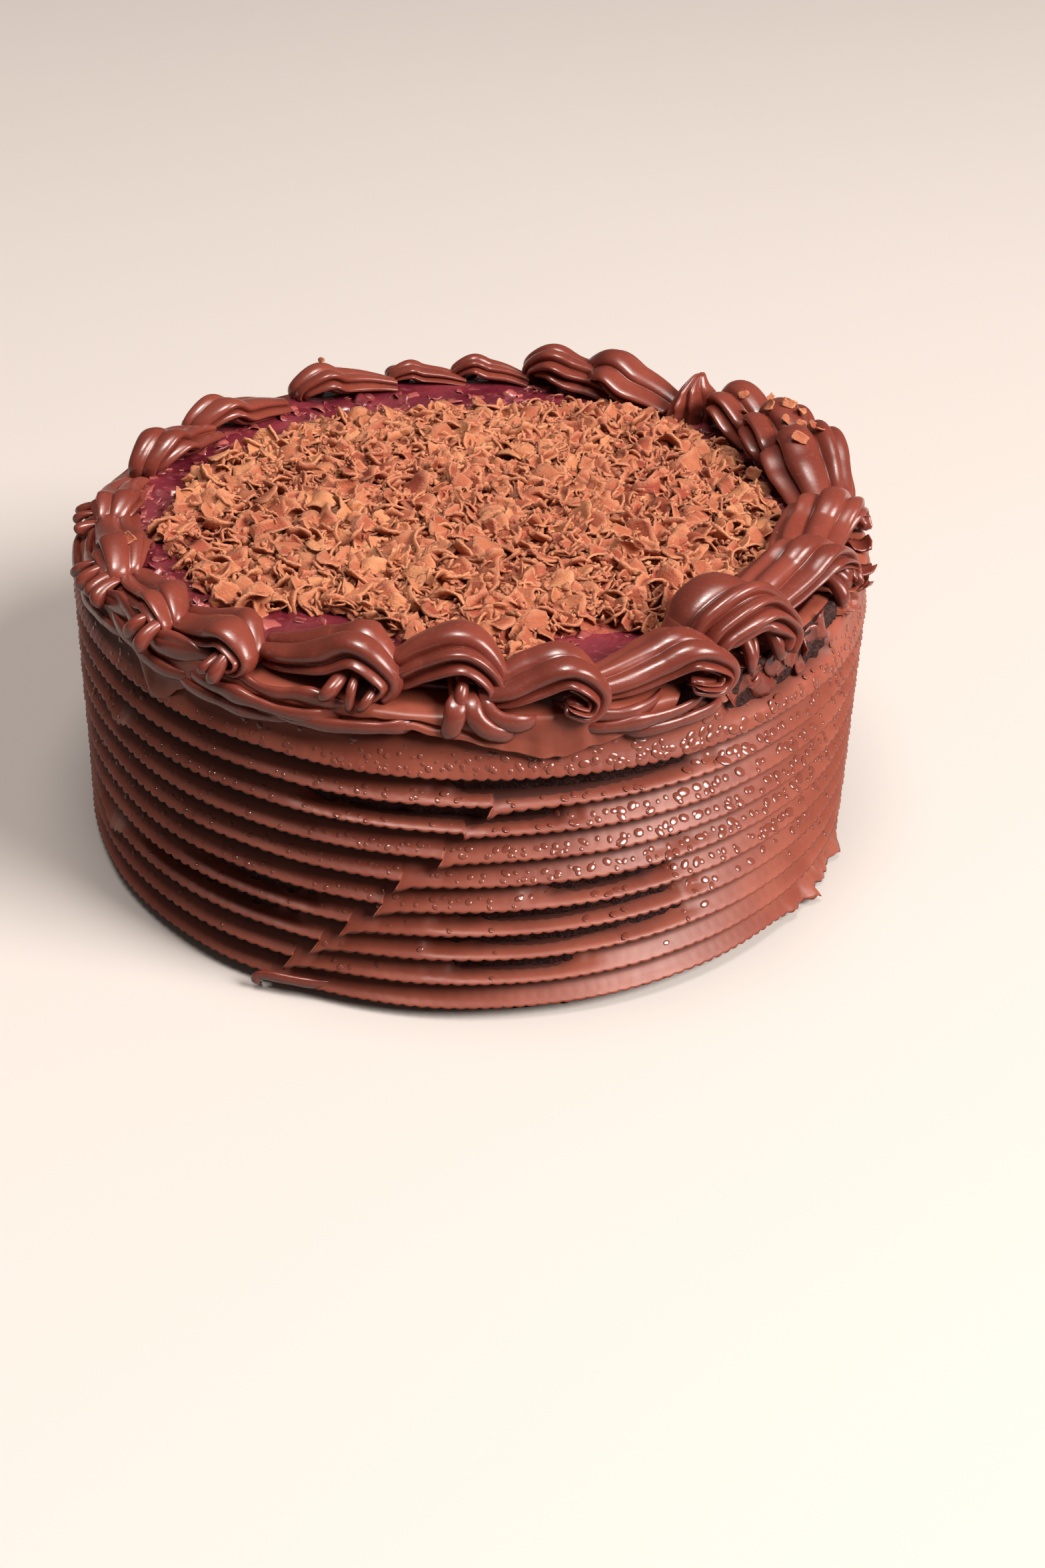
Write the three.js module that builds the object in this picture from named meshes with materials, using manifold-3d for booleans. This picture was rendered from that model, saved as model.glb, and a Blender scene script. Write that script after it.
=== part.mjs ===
// Round chocolate cake: a dark sponge under a coat of combed chocolate icing, topped with fruit glaze,
// a heap of milk chocolate shavings and a border of piped icing shells.
// Millimetres, +Z up, origin at the centre of the base. The front of the cake is at -Y, and azimuths
// are in degrees, counterclockwise from +X as seen from above.
import * as THREE from "three";
import { mergeVertices } from "three/addons/utils/BufferGeometryUtils.js";
import Module from "manifold-3d";

const wasm = await Module();
wasm.setup();

// Whole cake
const CAKE_RADIUS = 100; // over the lips of the comb ridges
const TOP_HEIGHT = 80; // icing on the top, at the axis
const TOP_RISE = 2.5; // the top stands this much higher at the front edge than at the axis
const FIT_GAP = 0.35; // between pieces that lie on each other

// Icing coat, combed into ridges whose lips hang over the groove below
const RIDGE_COUNT = 10;
const RIDGE_PITCH = 7.1;
const RIDGE_DEPTH = 5;
const LOWEST_LIP = 4;
const LIP_UNDERCUT = 0.9; // from the lip's edge up to the groove behind it
const FACE_MIDDLE = { down: 0.5, out: 0.3 }; // a point of the hollow face, as shares of pitch and depth
const TOP_BAND_LIP = { radius: 98.6, height: 76.8 }; // smeared band over the highest ridge
const TOP_EDGE_RADIUS = 97.2;
const COAT_OVER_GROOVE = 1.2; // icing left between a groove and the sponge
const COAT_ON_TOP = 2.2;
const COAT_FOOT = 0.4; // the coat ends just above the surface that the sponge stands on
const COAT_COLUMNS = 54;
const COLUMN_CROWDING = 0.5; // columns crowd together at the seam by this share

// Seam where the comb was lifted: each lip starts there with a drooping point
const SEAM_FOOT_AZIMUTH = -119;
const SEAM_SLOPE = 0.6; // degrees for each millimetre of height
const CLAW_DROP = 4.2;
const CLAW_FADE = 5.5; // degrees over which a claw rises back to its lip

// Bare patch where the sponge shows, under the rim at the front right
const BARE_PATCH = { azimuth: -46, height: 76.5, halfLength: 22, halfHeight: 4, depth: 5 };

// Fruit glaze on the top
const GLAZE_RADIUS = 81;
const GLAZE_THICKNESS = 1.4;
const GLAZE_SIDES = 56;

// Piped shells, counterclockwise: where the tail and the head end, as azimuths, the height of the crown, and
// how far the shell lies outside the ring
const SHELLS = [
  { tail: 3, head: 21.5, height: 17.8, shift: -1 },
  { tail: 22, head: 32, height: 18, shift: -1 },
  { tail: 33, head: 43.5, height: 15, shift: 0 },
  { tail: 44, head: 50.5, height: 14.5, shift: -1, upright: true },
  { tail: 53.5, head: 70, height: 14.5, shift: -0.5 },
  { tail: 69.5, head: 81.5, height: 13.3, shift: 0 },
  { tail: 83, head: 95, height: 8.4, shift: 0.5 },
  { tail: 95, head: 107, height: 7.4, shift: 0 },
  { tail: 109, head: 127, height: 8.8, shift: 0 },
  { tail: 133, head: 151, height: 9.2, shift: 0 },
  { tail: 152, head: 170.5, height: 10.8, shift: 0 },
  { tail: 175, head: 189, height: 8.5, shift: 0 },
  { tail: 188, head: 209, height: 9.8, shift: 0.5 },
  { tail: 210, head: 225.5, height: 9.5, shift: 1.5 },
  { tail: 226, head: 240, height: 10.8, shift: 1.5 },
  { tail: 242, head: 260, height: 14.2, shift: 1 },
  { tail: 260, head: 274, height: 16, shift: -1.5 },
  { tail: 274, head: 287, height: 13.5, shift: 4 },
  { tail: 288, head: 306, height: 12.5, shift: 3.5 },
  { tail: 306, head: 319, height: 18, shift: -2.5 },
  { tail: 320, head: 344, height: 14.5, shift: -4, slant: 6 },
  { tail: 339, head: 362, height: 14.3, shift: -3, slant: 6 },
];
const SHELL_RING = { radius: 88, x: 2.2, y: -0.5 }; // the ring isn't centred on the cake
const SHELL_SLANT = 1.5; // a shell's head lies this much further out than its middle, and its tail further in
const HEAD_REACH = { height: 0.5, length: 0.33 }; // from curl to head's end, as shares: the larger one holds
const TAIL_OVERLAP = 4; // the tail runs this far under the shell before it

// Stations of a shell's middle line, as shares of its height: `along` the ring from the curl, `up`, and the
// radius of the rope there
const HEAD_STATIONS = [
  { along: 0.25, up: 0.08, radius: 0.2 },
  { along: 0.36, up: 0.34, radius: 0.27 },
  { along: 0.02, up: 0.62, radius: 0.38 },
];
const SHOULDER_STATION = { along: -0.45, up: 0.44, radius: 0.38 };
const BODY_STATION = { up: 0.26, radius: 0.32 };
const TAIL_STATION = { up: 0.14, radius: 0.22 };
const UPRIGHT_STATIONS = [
  { up: 0.94, radius: 0.08 },
  { up: 0.72, radius: 0.26 },
  { up: 0.36, radius: 0.4 },
  { up: 0, radius: 0.38 },
];
const OUTER_SPREAD = 1.35; // the rope is wider than it is thick, on its outer and on its inner side
const INNER_SPREAD = 1.85;
const INNER_SQUASH = 0.7; // the rope is thinner on the inside of its curl
const ROPE_LOBES = 6;
const ROPE_CREASE = 0.3; // depth of the creases between lobes, as a share of the rope's radius
const ROPE_TWIST = 0.9; // radians from head to tail
const ROPE_STEPS = 7;

// Heap of chocolate shavings on the glaze
const HEAP_CENTRE = { x: 7, y: -3.5 };
const HEAP_RADIUS = 66;
const HEAP_HEIGHT = 4;
const HEAP_EDGE = 1.2;
const HEAP_SIDES = 28;
const HEAP_WAVE = { out: 1.1, slow: 3, quick: 7 }; // how far the outline wanders, in two waves round the heap
const FLAKE_COUNT = 46;
const FLAKE_LENGTH = [7, 13];
const FLAKE_WIDTH = [5, 8];
const FLAKE_THICKNESS = 0.9;
const FLAKE_BEND = [7, 14]; // radius of a flake's curl
const FLAKE_TILT = 0.75; // radians at most
const FLAKE_SEED = 20;

const GOLDEN_ANGLE = Math.PI * (3 - Math.sqrt(5));
const radians = THREE.MathUtils.degToRad;
const lerp = THREE.MathUtils.lerp;
const smoothstep = THREE.MathUtils.smoothstep;

// Seeded random numbers from 0 to 1, so that every build is the same.
function randomSource(seed) {
  let state = seed >>> 0;
  return () => {
    state = (state + 0x6d2b79f5) >>> 0;
    let mixed = Math.imul(state ^ (state >>> 15), state | 1);
    mixed ^= mixed + Math.imul(mixed ^ (mixed >>> 7), mixed | 61);
    return ((mixed ^ (mixed >>> 14)) >>> 0) / 4294967296;
  };
}

// How far the cake's top stands above or below its height at the axis.
function topRise(y) {
  return (-TOP_RISE * y) / CAKE_RADIUS;
}

// Moves every vertex of a geometry by a function that changes it in place.
function moveVertices(geometry, move) {
  const position = geometry.getAttribute("position");
  const vertex = new THREE.Vector3();
  for (let i = 0; i < position.count; i++) {
    move(vertex.fromBufferAttribute(position, i));
    position.setXYZ(i, vertex.x, vertex.y, vertex.z);
  }
  return geometry;
}

// A geometry as a closed solid, without the flat triangles that lie at a pole.
function solidFrom(geometry) {
  const bare = new THREE.BufferGeometry().setAttribute("position", geometry.getAttribute("position"));
  bare.setIndex(geometry.index);
  const merged = mergeVertices(bare, 1e-4);
  const triangles = [];
  for (let i = 0; i < merged.index.count; i += 3) {
    const [a, b, c] = [0, 1, 2].map((corner) => merged.index.getX(i + corner));
    if (a !== b && b !== c && a !== c) triangles.push(a, b, c);
  }
  const mesh = new wasm.Mesh({
    numProp: 3,
    vertProperties: merged.getAttribute("position").array,
    triVerts: new Uint32Array(triangles),
  });
  return new wasm.Manifold(mesh);
}

// The largest piece of a solid, so that no loose scrap is left by a cut.
function largestPiece(solid) {
  return solid.decompose().reduce((best, piece) => (piece.volume() > best.volume() ? piece : best));
}

function geometryFrom(solid) {
  const mesh = solid.getMesh();
  const geometry = new THREE.BufferGeometry();
  geometry.setAttribute("position", new THREE.BufferAttribute(mesh.vertProperties, 3));
  geometry.setIndex(new THREE.BufferAttribute(mesh.triVerts, 1));
  geometry.computeVertexNormals();
  return geometry;
}

function namedMesh(name, geometry, material) {
  const mesh = new THREE.Mesh(geometry, material);
  mesh.name = name;
  return mesh;
}

// A disc on the cake's sloping top, between two heights at the axis.
function risingDisc(radius, bottom, top) {
  const disc = new THREE.CylinderGeometry(radius, radius, top - bottom, GLAZE_SIDES).rotateX(Math.PI / 2);
  disc.translate(0, 0, (top + bottom) / 2);
  return moveVertices(disc, (v) => {
    v.z += topRise(v.y);
  });
}

// Sponge

const GROOVE_RADIUS = CAKE_RADIUS - RIDGE_DEPTH;
const COAT_INNER_RADIUS = GROOVE_RADIUS - COAT_OVER_GROOVE;
const SPONGE_RADIUS = COAT_INNER_RADIUS - FIT_GAP;
const COAT_CEILING = TOP_HEIGHT - COAT_ON_TOP;
const SPONGE_TOP = COAT_CEILING - FIT_GAP;
const SEAM_MIDDLE_AZIMUTH = SEAM_FOOT_AZIMUTH + (SEAM_SLOPE * TOP_HEIGHT) / 2;

// Moves a vertex round the axis, so that the columns of sponge and coat crowd together at the seam.
function crowdColumns(vertex) {
  const radius = Math.hypot(vertex.x, vertex.y);
  const column = Math.atan2(vertex.y, vertex.x);
  const azimuth = column - COLUMN_CROWDING * Math.sin(column - radians(SEAM_MIDDLE_AZIMUTH));
  vertex.x = radius * Math.cos(azimuth);
  vertex.y = radius * Math.sin(azimuth);
  return { radius, azimuth: THREE.MathUtils.radToDeg(azimuth) };
}

function spongeGeometry() {
  const disc = new THREE.CylinderGeometry(SPONGE_RADIUS, SPONGE_RADIUS, SPONGE_TOP, COAT_COLUMNS);
  disc.rotateX(Math.PI / 2).translate(0, 0, SPONGE_TOP / 2);
  return moveVertices(disc, (v) => {
    crowdColumns(v);
    if (v.z > SPONGE_TOP / 2) v.z += topRise(v.y);
  });
}

// Icing coat

const TOP_BAND_START = LOWEST_LIP + (RIDGE_COUNT - 1) * RIDGE_PITCH;

// The section of the coat, from the axis under the top, down the inside, up the ridges and back to the axis.
function coatProfile() {
  const points = [
    new THREE.Vector2(0, COAT_CEILING),
    new THREE.Vector2(COAT_INNER_RADIUS, COAT_CEILING),
    new THREE.Vector2(COAT_INNER_RADIUS, COAT_FOOT),
    new THREE.Vector2(GROOVE_RADIUS, COAT_FOOT),
  ];
  for (let ridge = 0; ridge < RIDGE_COUNT; ridge++) {
    const lip = LOWEST_LIP + ridge * RIDGE_PITCH;
    const faceMiddle = lip + (1 - FACE_MIDDLE.down) * (RIDGE_PITCH - LIP_UNDERCUT);
    points.push(new THREE.Vector2(GROOVE_RADIUS, lip + LIP_UNDERCUT - (ridge === 0 ? LOWEST_LIP / 2 : 0)));
    points.push(new THREE.Vector2(CAKE_RADIUS, lip));
    points.push(new THREE.Vector2(GROOVE_RADIUS + FACE_MIDDLE.out * RIDGE_DEPTH, faceMiddle));
  }
  points.push(new THREE.Vector2(GROOVE_RADIUS, TOP_BAND_START + RIDGE_PITCH - LIP_UNDERCUT));
  points.push(new THREE.Vector2(TOP_BAND_LIP.radius, TOP_BAND_LIP.height));
  points.push(new THREE.Vector2(TOP_EDGE_RADIUS, TOP_HEIGHT));
  points.push(new THREE.Vector2(0, TOP_HEIGHT));
  return points;
}

// How far a lip hangs below its level, just counterclockwise of the seam.
function clawDrop(azimuth, height) {
  const seam = SEAM_FOOT_AZIMUTH + SEAM_SLOPE * height;
  const past = THREE.MathUtils.euclideanModulo(azimuth - seam, 360);
  return Math.min(CLAW_DROP, height - COAT_FOOT) * Math.exp(-past / CLAW_FADE);
}

function coatGeometry() {
  const coat = new THREE.LatheGeometry(coatProfile(), COAT_COLUMNS).rotateX(Math.PI / 2);
  moveVertices(coat, (v) => {
    const { radius, azimuth } = crowdColumns(v);
    if (radius > (CAKE_RADIUS + TOP_BAND_LIP.radius) / 2) v.z -= clawDrop(azimuth, v.z);
    v.z += topRise(v.y) * smoothstep(v.z, TOP_BAND_START, COAT_CEILING);
  });
  const patch = new THREE.SphereGeometry(1, 12, 8);
  patch.scale(BARE_PATCH.depth, BARE_PATCH.halfLength, BARE_PATCH.halfHeight);
  patch.translate(CAKE_RADIUS, 0, BARE_PATCH.height).rotateZ(radians(BARE_PATCH.azimuth));
  return geometryFrom(largestPiece(solidFrom(coat).subtract(solidFrom(patch))));
}

// Fruit glaze

const GLAZE_BOTTOM = TOP_HEIGHT + FIT_GAP;
const GLAZE_TOP = GLAZE_BOTTOM + GLAZE_THICKNESS;

function glazeGeometry() {
  return risingDisc(GLAZE_RADIUS, GLAZE_BOTTOM, GLAZE_TOP);
}

// Piped shells

function ringRadius(azimuth) {
  return SHELL_RING.radius + SHELL_RING.x * Math.cos(azimuth) + SHELL_RING.y * Math.sin(azimuth);
}

// The middle line of a shell: x along the ring, y up, z the rope's radius there. It starts low at the
// front of the head, arches back over the crown and runs down to the tail. An upright shell is a drop.
function shellLine({ height, upright }, length) {
  const station = (along, { up, radius }) => new THREE.Vector3(along, up * height, radius * height);
  if (upright) return new THREE.CatmullRomCurve3(UPRIGHT_STATIONS.map((drop) => station(length / 2, drop)));
  const ahead = Math.max(HEAD_REACH.height * height, HEAD_REACH.length * length);
  const curl = length - ahead;
  const stretch = ahead / HEAD_REACH.height;
  const shoulder = curl + SHOULDER_STATION.along * height;
  const head = HEAD_STATIONS.map((place) => station(curl + place.along * stretch, place));
  const stations = [
    ...head,
    station(shoulder, SHOULDER_STATION),
    station((shoulder - TAIL_OVERLAP) / 2, BODY_STATION),
    station(-TAIL_OVERLAP, TAIL_STATION),
  ];
  return new THREE.CatmullRomCurve3(stations, false, "catmullrom");
}

// A ribbed rope bent along a shell's middle line and round the ring, grown by a margin.
function shellSolid(shell, margin) {
  const { tail, head, shift, slant = SHELL_SLANT } = shell;
  const line = shellLine(shell, radians(head - tail) * SHELL_RING.radius);
  const rope = new THREE.CylinderGeometry(1, 1, 1, 2 * ROPE_LOBES, ROPE_STEPS);
  moveVertices(rope, (v) => {
    const share = 0.5 - v.y;
    const around = Math.atan2(v.z, v.x);
    const middle = line.getPoint(share);
    const along = line.getTangent(share).setZ(0).normalize();
    const lobe = 1 - (ROPE_CREASE * (1 - Math.cos(ROPE_LOBES * around))) / 2;
    const reach = Math.hypot(v.x, v.z) * (middle.z * lobe + margin);
    const turned = around + ROPE_TWIST * share;
    const outOfCurl = -reach * Math.cos(turned);
    const inPlane = outOfCurl < 0 ? outOfCurl * INNER_SQUASH : outOfCurl;
    const side = reach * Math.sin(turned);
    const across = side * (side > 0 ? OUTER_SPREAD : INNER_SPREAD);
    const azimuth = radians(tail) + (middle.x + along.y * inPlane) / SHELL_RING.radius;
    const radius = ringRadius(azimuth) + shift + slant * (1 - 2 * share) + across;
    const lift = Math.max(middle.y - along.x * inPlane, -margin);
    v.set(radius * Math.cos(azimuth), radius * Math.sin(azimuth), 0);
    v.z = TOP_HEIGHT + FIT_GAP + topRise(v.y) + lift;
  });
  return solidFrom(rope);
}

// Every shell's tail is cut back from the head of the shell before it, which was piped over it, and its
// inner side from the edge of the glaze that it lies on.
const glazeCutter = solidFrom(risingDisc(GLAZE_RADIUS + FIT_GAP, TOP_HEIGHT, GLAZE_TOP + FIT_GAP));
const shellCutters = SHELLS.map((shell) => shellSolid(shell, FIT_GAP).add(shellSolid(shell, 0)));

function shellGeometries() {
  return SHELLS.map((shell, i) => {
    const before = shellCutters[(i + SHELLS.length - 1) % SHELLS.length];
    return geometryFrom(largestPiece(shellSolid(shell, 0).subtract(before).subtract(glazeCutter)));
  });
}

// Shavings

// The heap's bare core: a low dome with a wandering outline.
function heapCore() {
  const base = GLAZE_TOP + FIT_GAP;
  const section = new THREE.EllipseCurve(0, HEAP_EDGE, HEAP_RADIUS, HEAP_HEIGHT - HEAP_EDGE, 0, Math.PI / 2);
  const profile = [new THREE.Vector2(0, 0), new THREE.Vector2(HEAP_RADIUS, 0), ...section.getPoints(4)];
  profile[profile.length - 1].x = 0;
  const core = new THREE.LatheGeometry(profile, HEAP_SIDES).rotateX(Math.PI / 2);
  return moveVertices(core, (v) => {
    const azimuth = Math.atan2(v.y, v.x);
    const reach = Math.hypot(v.x, v.y) / HEAP_RADIUS;
    const wave = Math.sin(HEAP_WAVE.slow * azimuth) + Math.cos(HEAP_WAVE.quick * azimuth);
    const wander = HEAP_WAVE.out * reach * wave;
    v.x += HEAP_CENTRE.x + wander * Math.cos(azimuth);
    v.y += HEAP_CENTRE.y + wander * Math.sin(azimuth);
    v.z += base + topRise(v.y);
  });
}

// One curled flake, lying flat with its hollow side up.
function flakeGeometry(length, width, bend) {
  const flake = new THREE.BoxGeometry(length, width, FLAKE_THICKNESS, 2, 1, 1);
  return moveVertices(flake, (v) => {
    const angle = v.x / bend;
    const radius = bend - v.z;
    v.x = radius * Math.sin(angle);
    v.z = bend - radius * Math.cos(angle);
  });
}

// The core with flakes fused on, spread evenly over it, and cut back from the glaze and the shells.
function shavingsGeometry() {
  const random = randomSource(FLAKE_SEED);
  const between = (range) => lerp(range[0], range[1], random());
  let heap = solidFrom(heapCore());
  for (let i = 0; i < FLAKE_COUNT; i++) {
    const reach = Math.sqrt((i + 0.5) / FLAKE_COUNT);
    const azimuth = i * GOLDEN_ANGLE;
    const x = HEAP_CENTRE.x + HEAP_RADIUS * reach * Math.cos(azimuth);
    const y = HEAP_CENTRE.y + HEAP_RADIUS * reach * Math.sin(azimuth);
    const dome = HEAP_EDGE + (HEAP_HEIGHT - HEAP_EDGE) * Math.sqrt(1 - reach * reach);
    const flake = flakeGeometry(between(FLAKE_LENGTH), between(FLAKE_WIDTH), between(FLAKE_BEND));
    flake.rotateX(FLAKE_TILT * (2 * random() - 1)).rotateY(FLAKE_TILT * (2 * random() - 1));
    flake.rotateZ(2 * Math.PI * random());
    flake.translate(x, y, GLAZE_TOP + FIT_GAP + topRise(y) + dome);
    heap = heap.add(solidFrom(flake));
  }
  const glazeAndBelow = solidFrom(risingDisc(CAKE_RADIUS, 0, GLAZE_TOP + FIT_GAP));
  const bare = [glazeAndBelow, ...shellCutters].reduce((rest, cutter) => rest.subtract(cutter), heap);
  return geometryFrom(largestPiece(bare));
}

// Finishes

const sponge = new THREE.MeshStandardMaterial({ color: 0x2a1411, roughness: 0.95, metalness: 0 });
const icing = new THREE.MeshStandardMaterial({ color: 0x6f3a2c, roughness: 0.35, metalness: 0 });
const glaze = new THREE.MeshStandardMaterial({ color: 0x5a1c26, roughness: 0.15, metalness: 0 });
const shavings = new THREE.MeshStandardMaterial({ color: 0xb9744b, roughness: 0.6, metalness: 0 });

// Assembly

const cake = new THREE.Group();
cake.add(namedMesh("sponge", spongeGeometry(), sponge));
cake.add(namedMesh("icing_coat", coatGeometry(), icing));
cake.add(namedMesh("fruit_glaze", glazeGeometry(), glaze));
shellGeometries().forEach((geometry, i) => {
  cake.add(namedMesh(`piped_shell_${String(i + 1).padStart(2, "0")}`, geometry, icing));
});
cake.add(namedMesh("chocolate_shavings", shavingsGeometry(), shavings));

export default cake;
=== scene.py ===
# %% [markdown]
# # A combed chocolate cake
# A round cake is a good first study in food: one simple drum carries five very different surfaces.
# There is soft crumb, icing pulled into ridges by a toothed comb, wet fruit glaze, dry chocolate flakes
# and piped shells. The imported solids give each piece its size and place, and every piece here is laid
# over its solid. Sizes are written in millimetres and multiplied by MM, because Blender works in metres.
# Places round the cake are azimuths in degrees, counterclockwise from the right, so the front is -90.

# %% Load the frame
import math
import random

import bmesh
import bpy
import numpy as np
from mathutils import Matrix, Vector
from mathutils.bvhtree import BVHTree


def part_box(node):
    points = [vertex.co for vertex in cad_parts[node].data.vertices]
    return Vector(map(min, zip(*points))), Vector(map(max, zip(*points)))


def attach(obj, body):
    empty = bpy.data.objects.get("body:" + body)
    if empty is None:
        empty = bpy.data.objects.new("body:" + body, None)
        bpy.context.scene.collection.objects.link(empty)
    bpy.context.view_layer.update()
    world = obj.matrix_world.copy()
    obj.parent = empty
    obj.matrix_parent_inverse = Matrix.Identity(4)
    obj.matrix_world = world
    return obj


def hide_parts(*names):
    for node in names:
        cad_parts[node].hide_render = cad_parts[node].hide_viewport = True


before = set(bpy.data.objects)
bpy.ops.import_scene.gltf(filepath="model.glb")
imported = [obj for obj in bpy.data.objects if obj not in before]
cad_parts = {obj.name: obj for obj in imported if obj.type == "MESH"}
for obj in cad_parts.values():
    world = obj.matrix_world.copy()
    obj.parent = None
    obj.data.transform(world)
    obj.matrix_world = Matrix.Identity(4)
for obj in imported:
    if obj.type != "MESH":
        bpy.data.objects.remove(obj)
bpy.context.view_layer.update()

MM = 0.001
cake_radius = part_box("icing_coat")[1].x / MM
print(f"frame loaded: {len(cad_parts)} nodes, cake radius {cake_radius:.1f} mm")

# %% [markdown]
# ## The camera
# The camera stands where the photograph was taken from, a little above the cake and half a metre away.
# A camera could be turned with Euler angles, but three directions are easier to reason about: where it
# looks, what is right and what is up. They become the columns of its matrix.

# %% Camera
CAMERA_PLACE = Vector((0.0, -490.0, 330.15)) * MM
CAMERA_PITCH = math.radians(33.944)
CAMERA_PAN = math.radians(1.736)
CAMERA_ROLL = math.radians(2.427)
LENS_MM = 50.0


def camera_matrix(place, pitch, pan, roll):
    ahead = Vector((math.sin(pan) * math.cos(pitch), math.cos(pan) * math.cos(pitch), -math.sin(pitch)))
    right = Vector((math.cos(pan), -math.sin(pan), 0))
    above = right.cross(ahead)
    tilted_right = right * math.cos(roll) + above * math.sin(roll)
    tilted_above = above * math.cos(roll) - right * math.sin(roll)
    turn = Matrix((tilted_right, tilted_above, -ahead)).transposed().to_4x4()
    return Matrix.Translation(place) @ turn


camera = bpy.data.objects.new("camera", bpy.data.cameras.new("camera"))
camera.data.lens = LENS_MM
camera.matrix_world = camera_matrix(CAMERA_PLACE, CAMERA_PITCH, CAMERA_PAN, CAMERA_ROLL)
bpy.context.scene.collection.objects.link(camera)
bpy.context.scene.camera = camera
print("camera", [round(x, 3) for x in camera.matrix_world.translation])

# %% [markdown]
# ## Shader maths
# Node trees are easy to draw and hard to read as code. This small class wraps an output socket, so that
# `1 - mask * 0.4` adds the Math nodes it describes. Every other node goes through one method, `node`,
# which sets the node's own settings first and then its sockets.

# %% Finish and wire


class Wire:
    """An output socket that can be used in sums like a number."""

    def __init__(self, finish, socket):
        self.finish = finish
        self.socket = socket

    def maths(self, operation, first, second):
        return self.finish.node("ShaderNodeMath", {"operation": operation}, {0: first, 1: second})

    def __add__(self, other):
        return self.maths("ADD", self, other)

    def __radd__(self, other):
        return self.maths("ADD", other, self)

    def __sub__(self, other):
        return self.maths("SUBTRACT", self, other)

    def __rsub__(self, other):
        return self.maths("SUBTRACT", other, self)

    def __mul__(self, other):
        return self.maths("MULTIPLY", self, other)

    def __rmul__(self, other):
        return self.maths("MULTIPLY", other, self)


class Finish:
    """A material whose nodes are added one call at a time."""

    def __init__(self, name, constants):
        self.material = bpy.data.materials.new(name)
        self.material.use_nodes = True
        self.tree = self.material.node_tree
        self.shader = self.tree.nodes["Principled BSDF"]
        for socket, value in constants.items():
            self.shader.inputs[socket].default_value = value

    def node(self, kind, settings=None, sockets=None, output=0):
        made = self.tree.nodes.new(kind)
        for name, value in (settings or {}).items():
            setattr(made, name, value)
        for name, value in (sockets or {}).items():
            self.plug(made.inputs[name], value)
        return Wire(self, made.outputs[output])

    def plug(self, socket, value):
        if isinstance(value, Wire):
            self.tree.links.new(value.socket, socket)
        else:
            socket.default_value = value

    def feed(self, socket, value):
        self.plug(self.shader.inputs[socket], value)

    def place(self):
        return self.node("ShaderNodeTexCoord", output="Object")

    def grain(self, scale, detail=3.0, stretch=(1, 1, 1)):
        """Noise from 0 to 1 with about `scale` lumps to the metre, squeezed along some axes."""
        squeezed = self.node("ShaderNodeMapping", None, {"Vector": self.place(), "Scale": stretch})
        return self.node("ShaderNodeTexNoise", None, {"Vector": squeezed, "Scale": scale, "Detail": detail})

    def step(self, value, low, high):
        """0 below `low`, 1 above `high` and a smooth rise between them."""
        settings = {"interpolation_type": "SMOOTHSTEP"}
        return self.node("ShaderNodeMapRange", settings, {"Value": value, "From Min": low, "From Max": high})

    def blend(self, share, first, second):
        """A colour between two others."""
        settings = {"data_type": "RGBA"}
        return self.node("ShaderNodeMix", settings, {0: share, 6: first, 7: second}, output=2)

    def number(self, name):
        """A number that the mesh keeps on each of its vertices."""
        return self.node("ShaderNodeAttribute", {"attribute_name": name}, output="Fac")

    def bump(self, height, depth):
        """Feeds the shader's normal with a relief of this depth in metres."""
        sockets = {"Height": height, "Distance": depth, "Strength": 1.0}
        self.feed("Normal", self.node("ShaderNodeBump", None, sockets))


def shade(red, green, blue):
    """A colour as the eye reads it, from 0 to 255, turned into the linear light that shaders use."""
    channels = [value / 255 for value in (red, green, blue)]
    linear = [c / 12.92 if c <= 0.04045 else ((c + 0.055) / 1.055) ** 2.4 for c in channels]
    return (*linear, 1.0)


print("shader helpers ready")

# %% [markdown]
# ## Finishing a piece
# Every mesh goes the same last mile: normals that point outwards, smooth shading, a material, a body to
# ride on and the solid that it stands for. Two functions keep that in a single place.

# %% Piece helpers


def finish_piece(bm, name, finish, node):
    bmesh.ops.recalc_face_normals(bm, faces=bm.faces)
    mesh = bpy.data.meshes.new(name)
    bm.to_mesh(mesh)
    bm.free()
    return place_piece(mesh, name, finish, node)


def place_piece(mesh, name, finish, node):
    mesh.shade_smooth()
    mesh.materials.append(finish.material)
    piece = bpy.data.objects.new(name, mesh)
    bpy.context.scene.collection.objects.link(piece)
    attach(piece, "root")
    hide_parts(node)
    mesh.calc_loop_triangles()
    print(f"{name}: {len(mesh.loop_triangles)} triangles")
    return piece


print("piece helpers ready")

# %% [markdown]
# ## Unevenness
# Nothing on a cake is exact. Smooth random hills come from a small cube of random numbers: any place in
# space falls between eight of them, and a weighted mean of the eight changes smoothly from place to place.
# Reading the hills in space leaves no seam where the drum closes on itself, and a turned cube keeps its
# rows from lining up with the ridges. The helpers take whole arrays of points at once, since moving a
# hundred thousand vertices one by one would be slow.

# %% Uneven helpers
LATTICE_SIZE = 48
SEED_STRIDE = 7.31
lattice = np.random.default_rng(3).uniform(-1, 1, (LATTICE_SIZE,) * 3)


def turned(*turns):
    """One rotation made of several, each given as (angle, axis)."""
    whole = Matrix.Identity(3)
    for angle, axis in turns:
        whole = whole @ Matrix.Rotation(angle, 3, axis)
    return whole


lattice_turn = np.array(turned((0.7, "X"), (0.5, "Y"), (0.3, "Z")))


def smooth(share):
    return share * share * (3 - 2 * share)


def rise(value, low, high):
    """0 below `low`, 1 above `high` and a smooth rise between them."""
    return smooth(np.clip((value - low) / (high - low), 0, 1))


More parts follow.
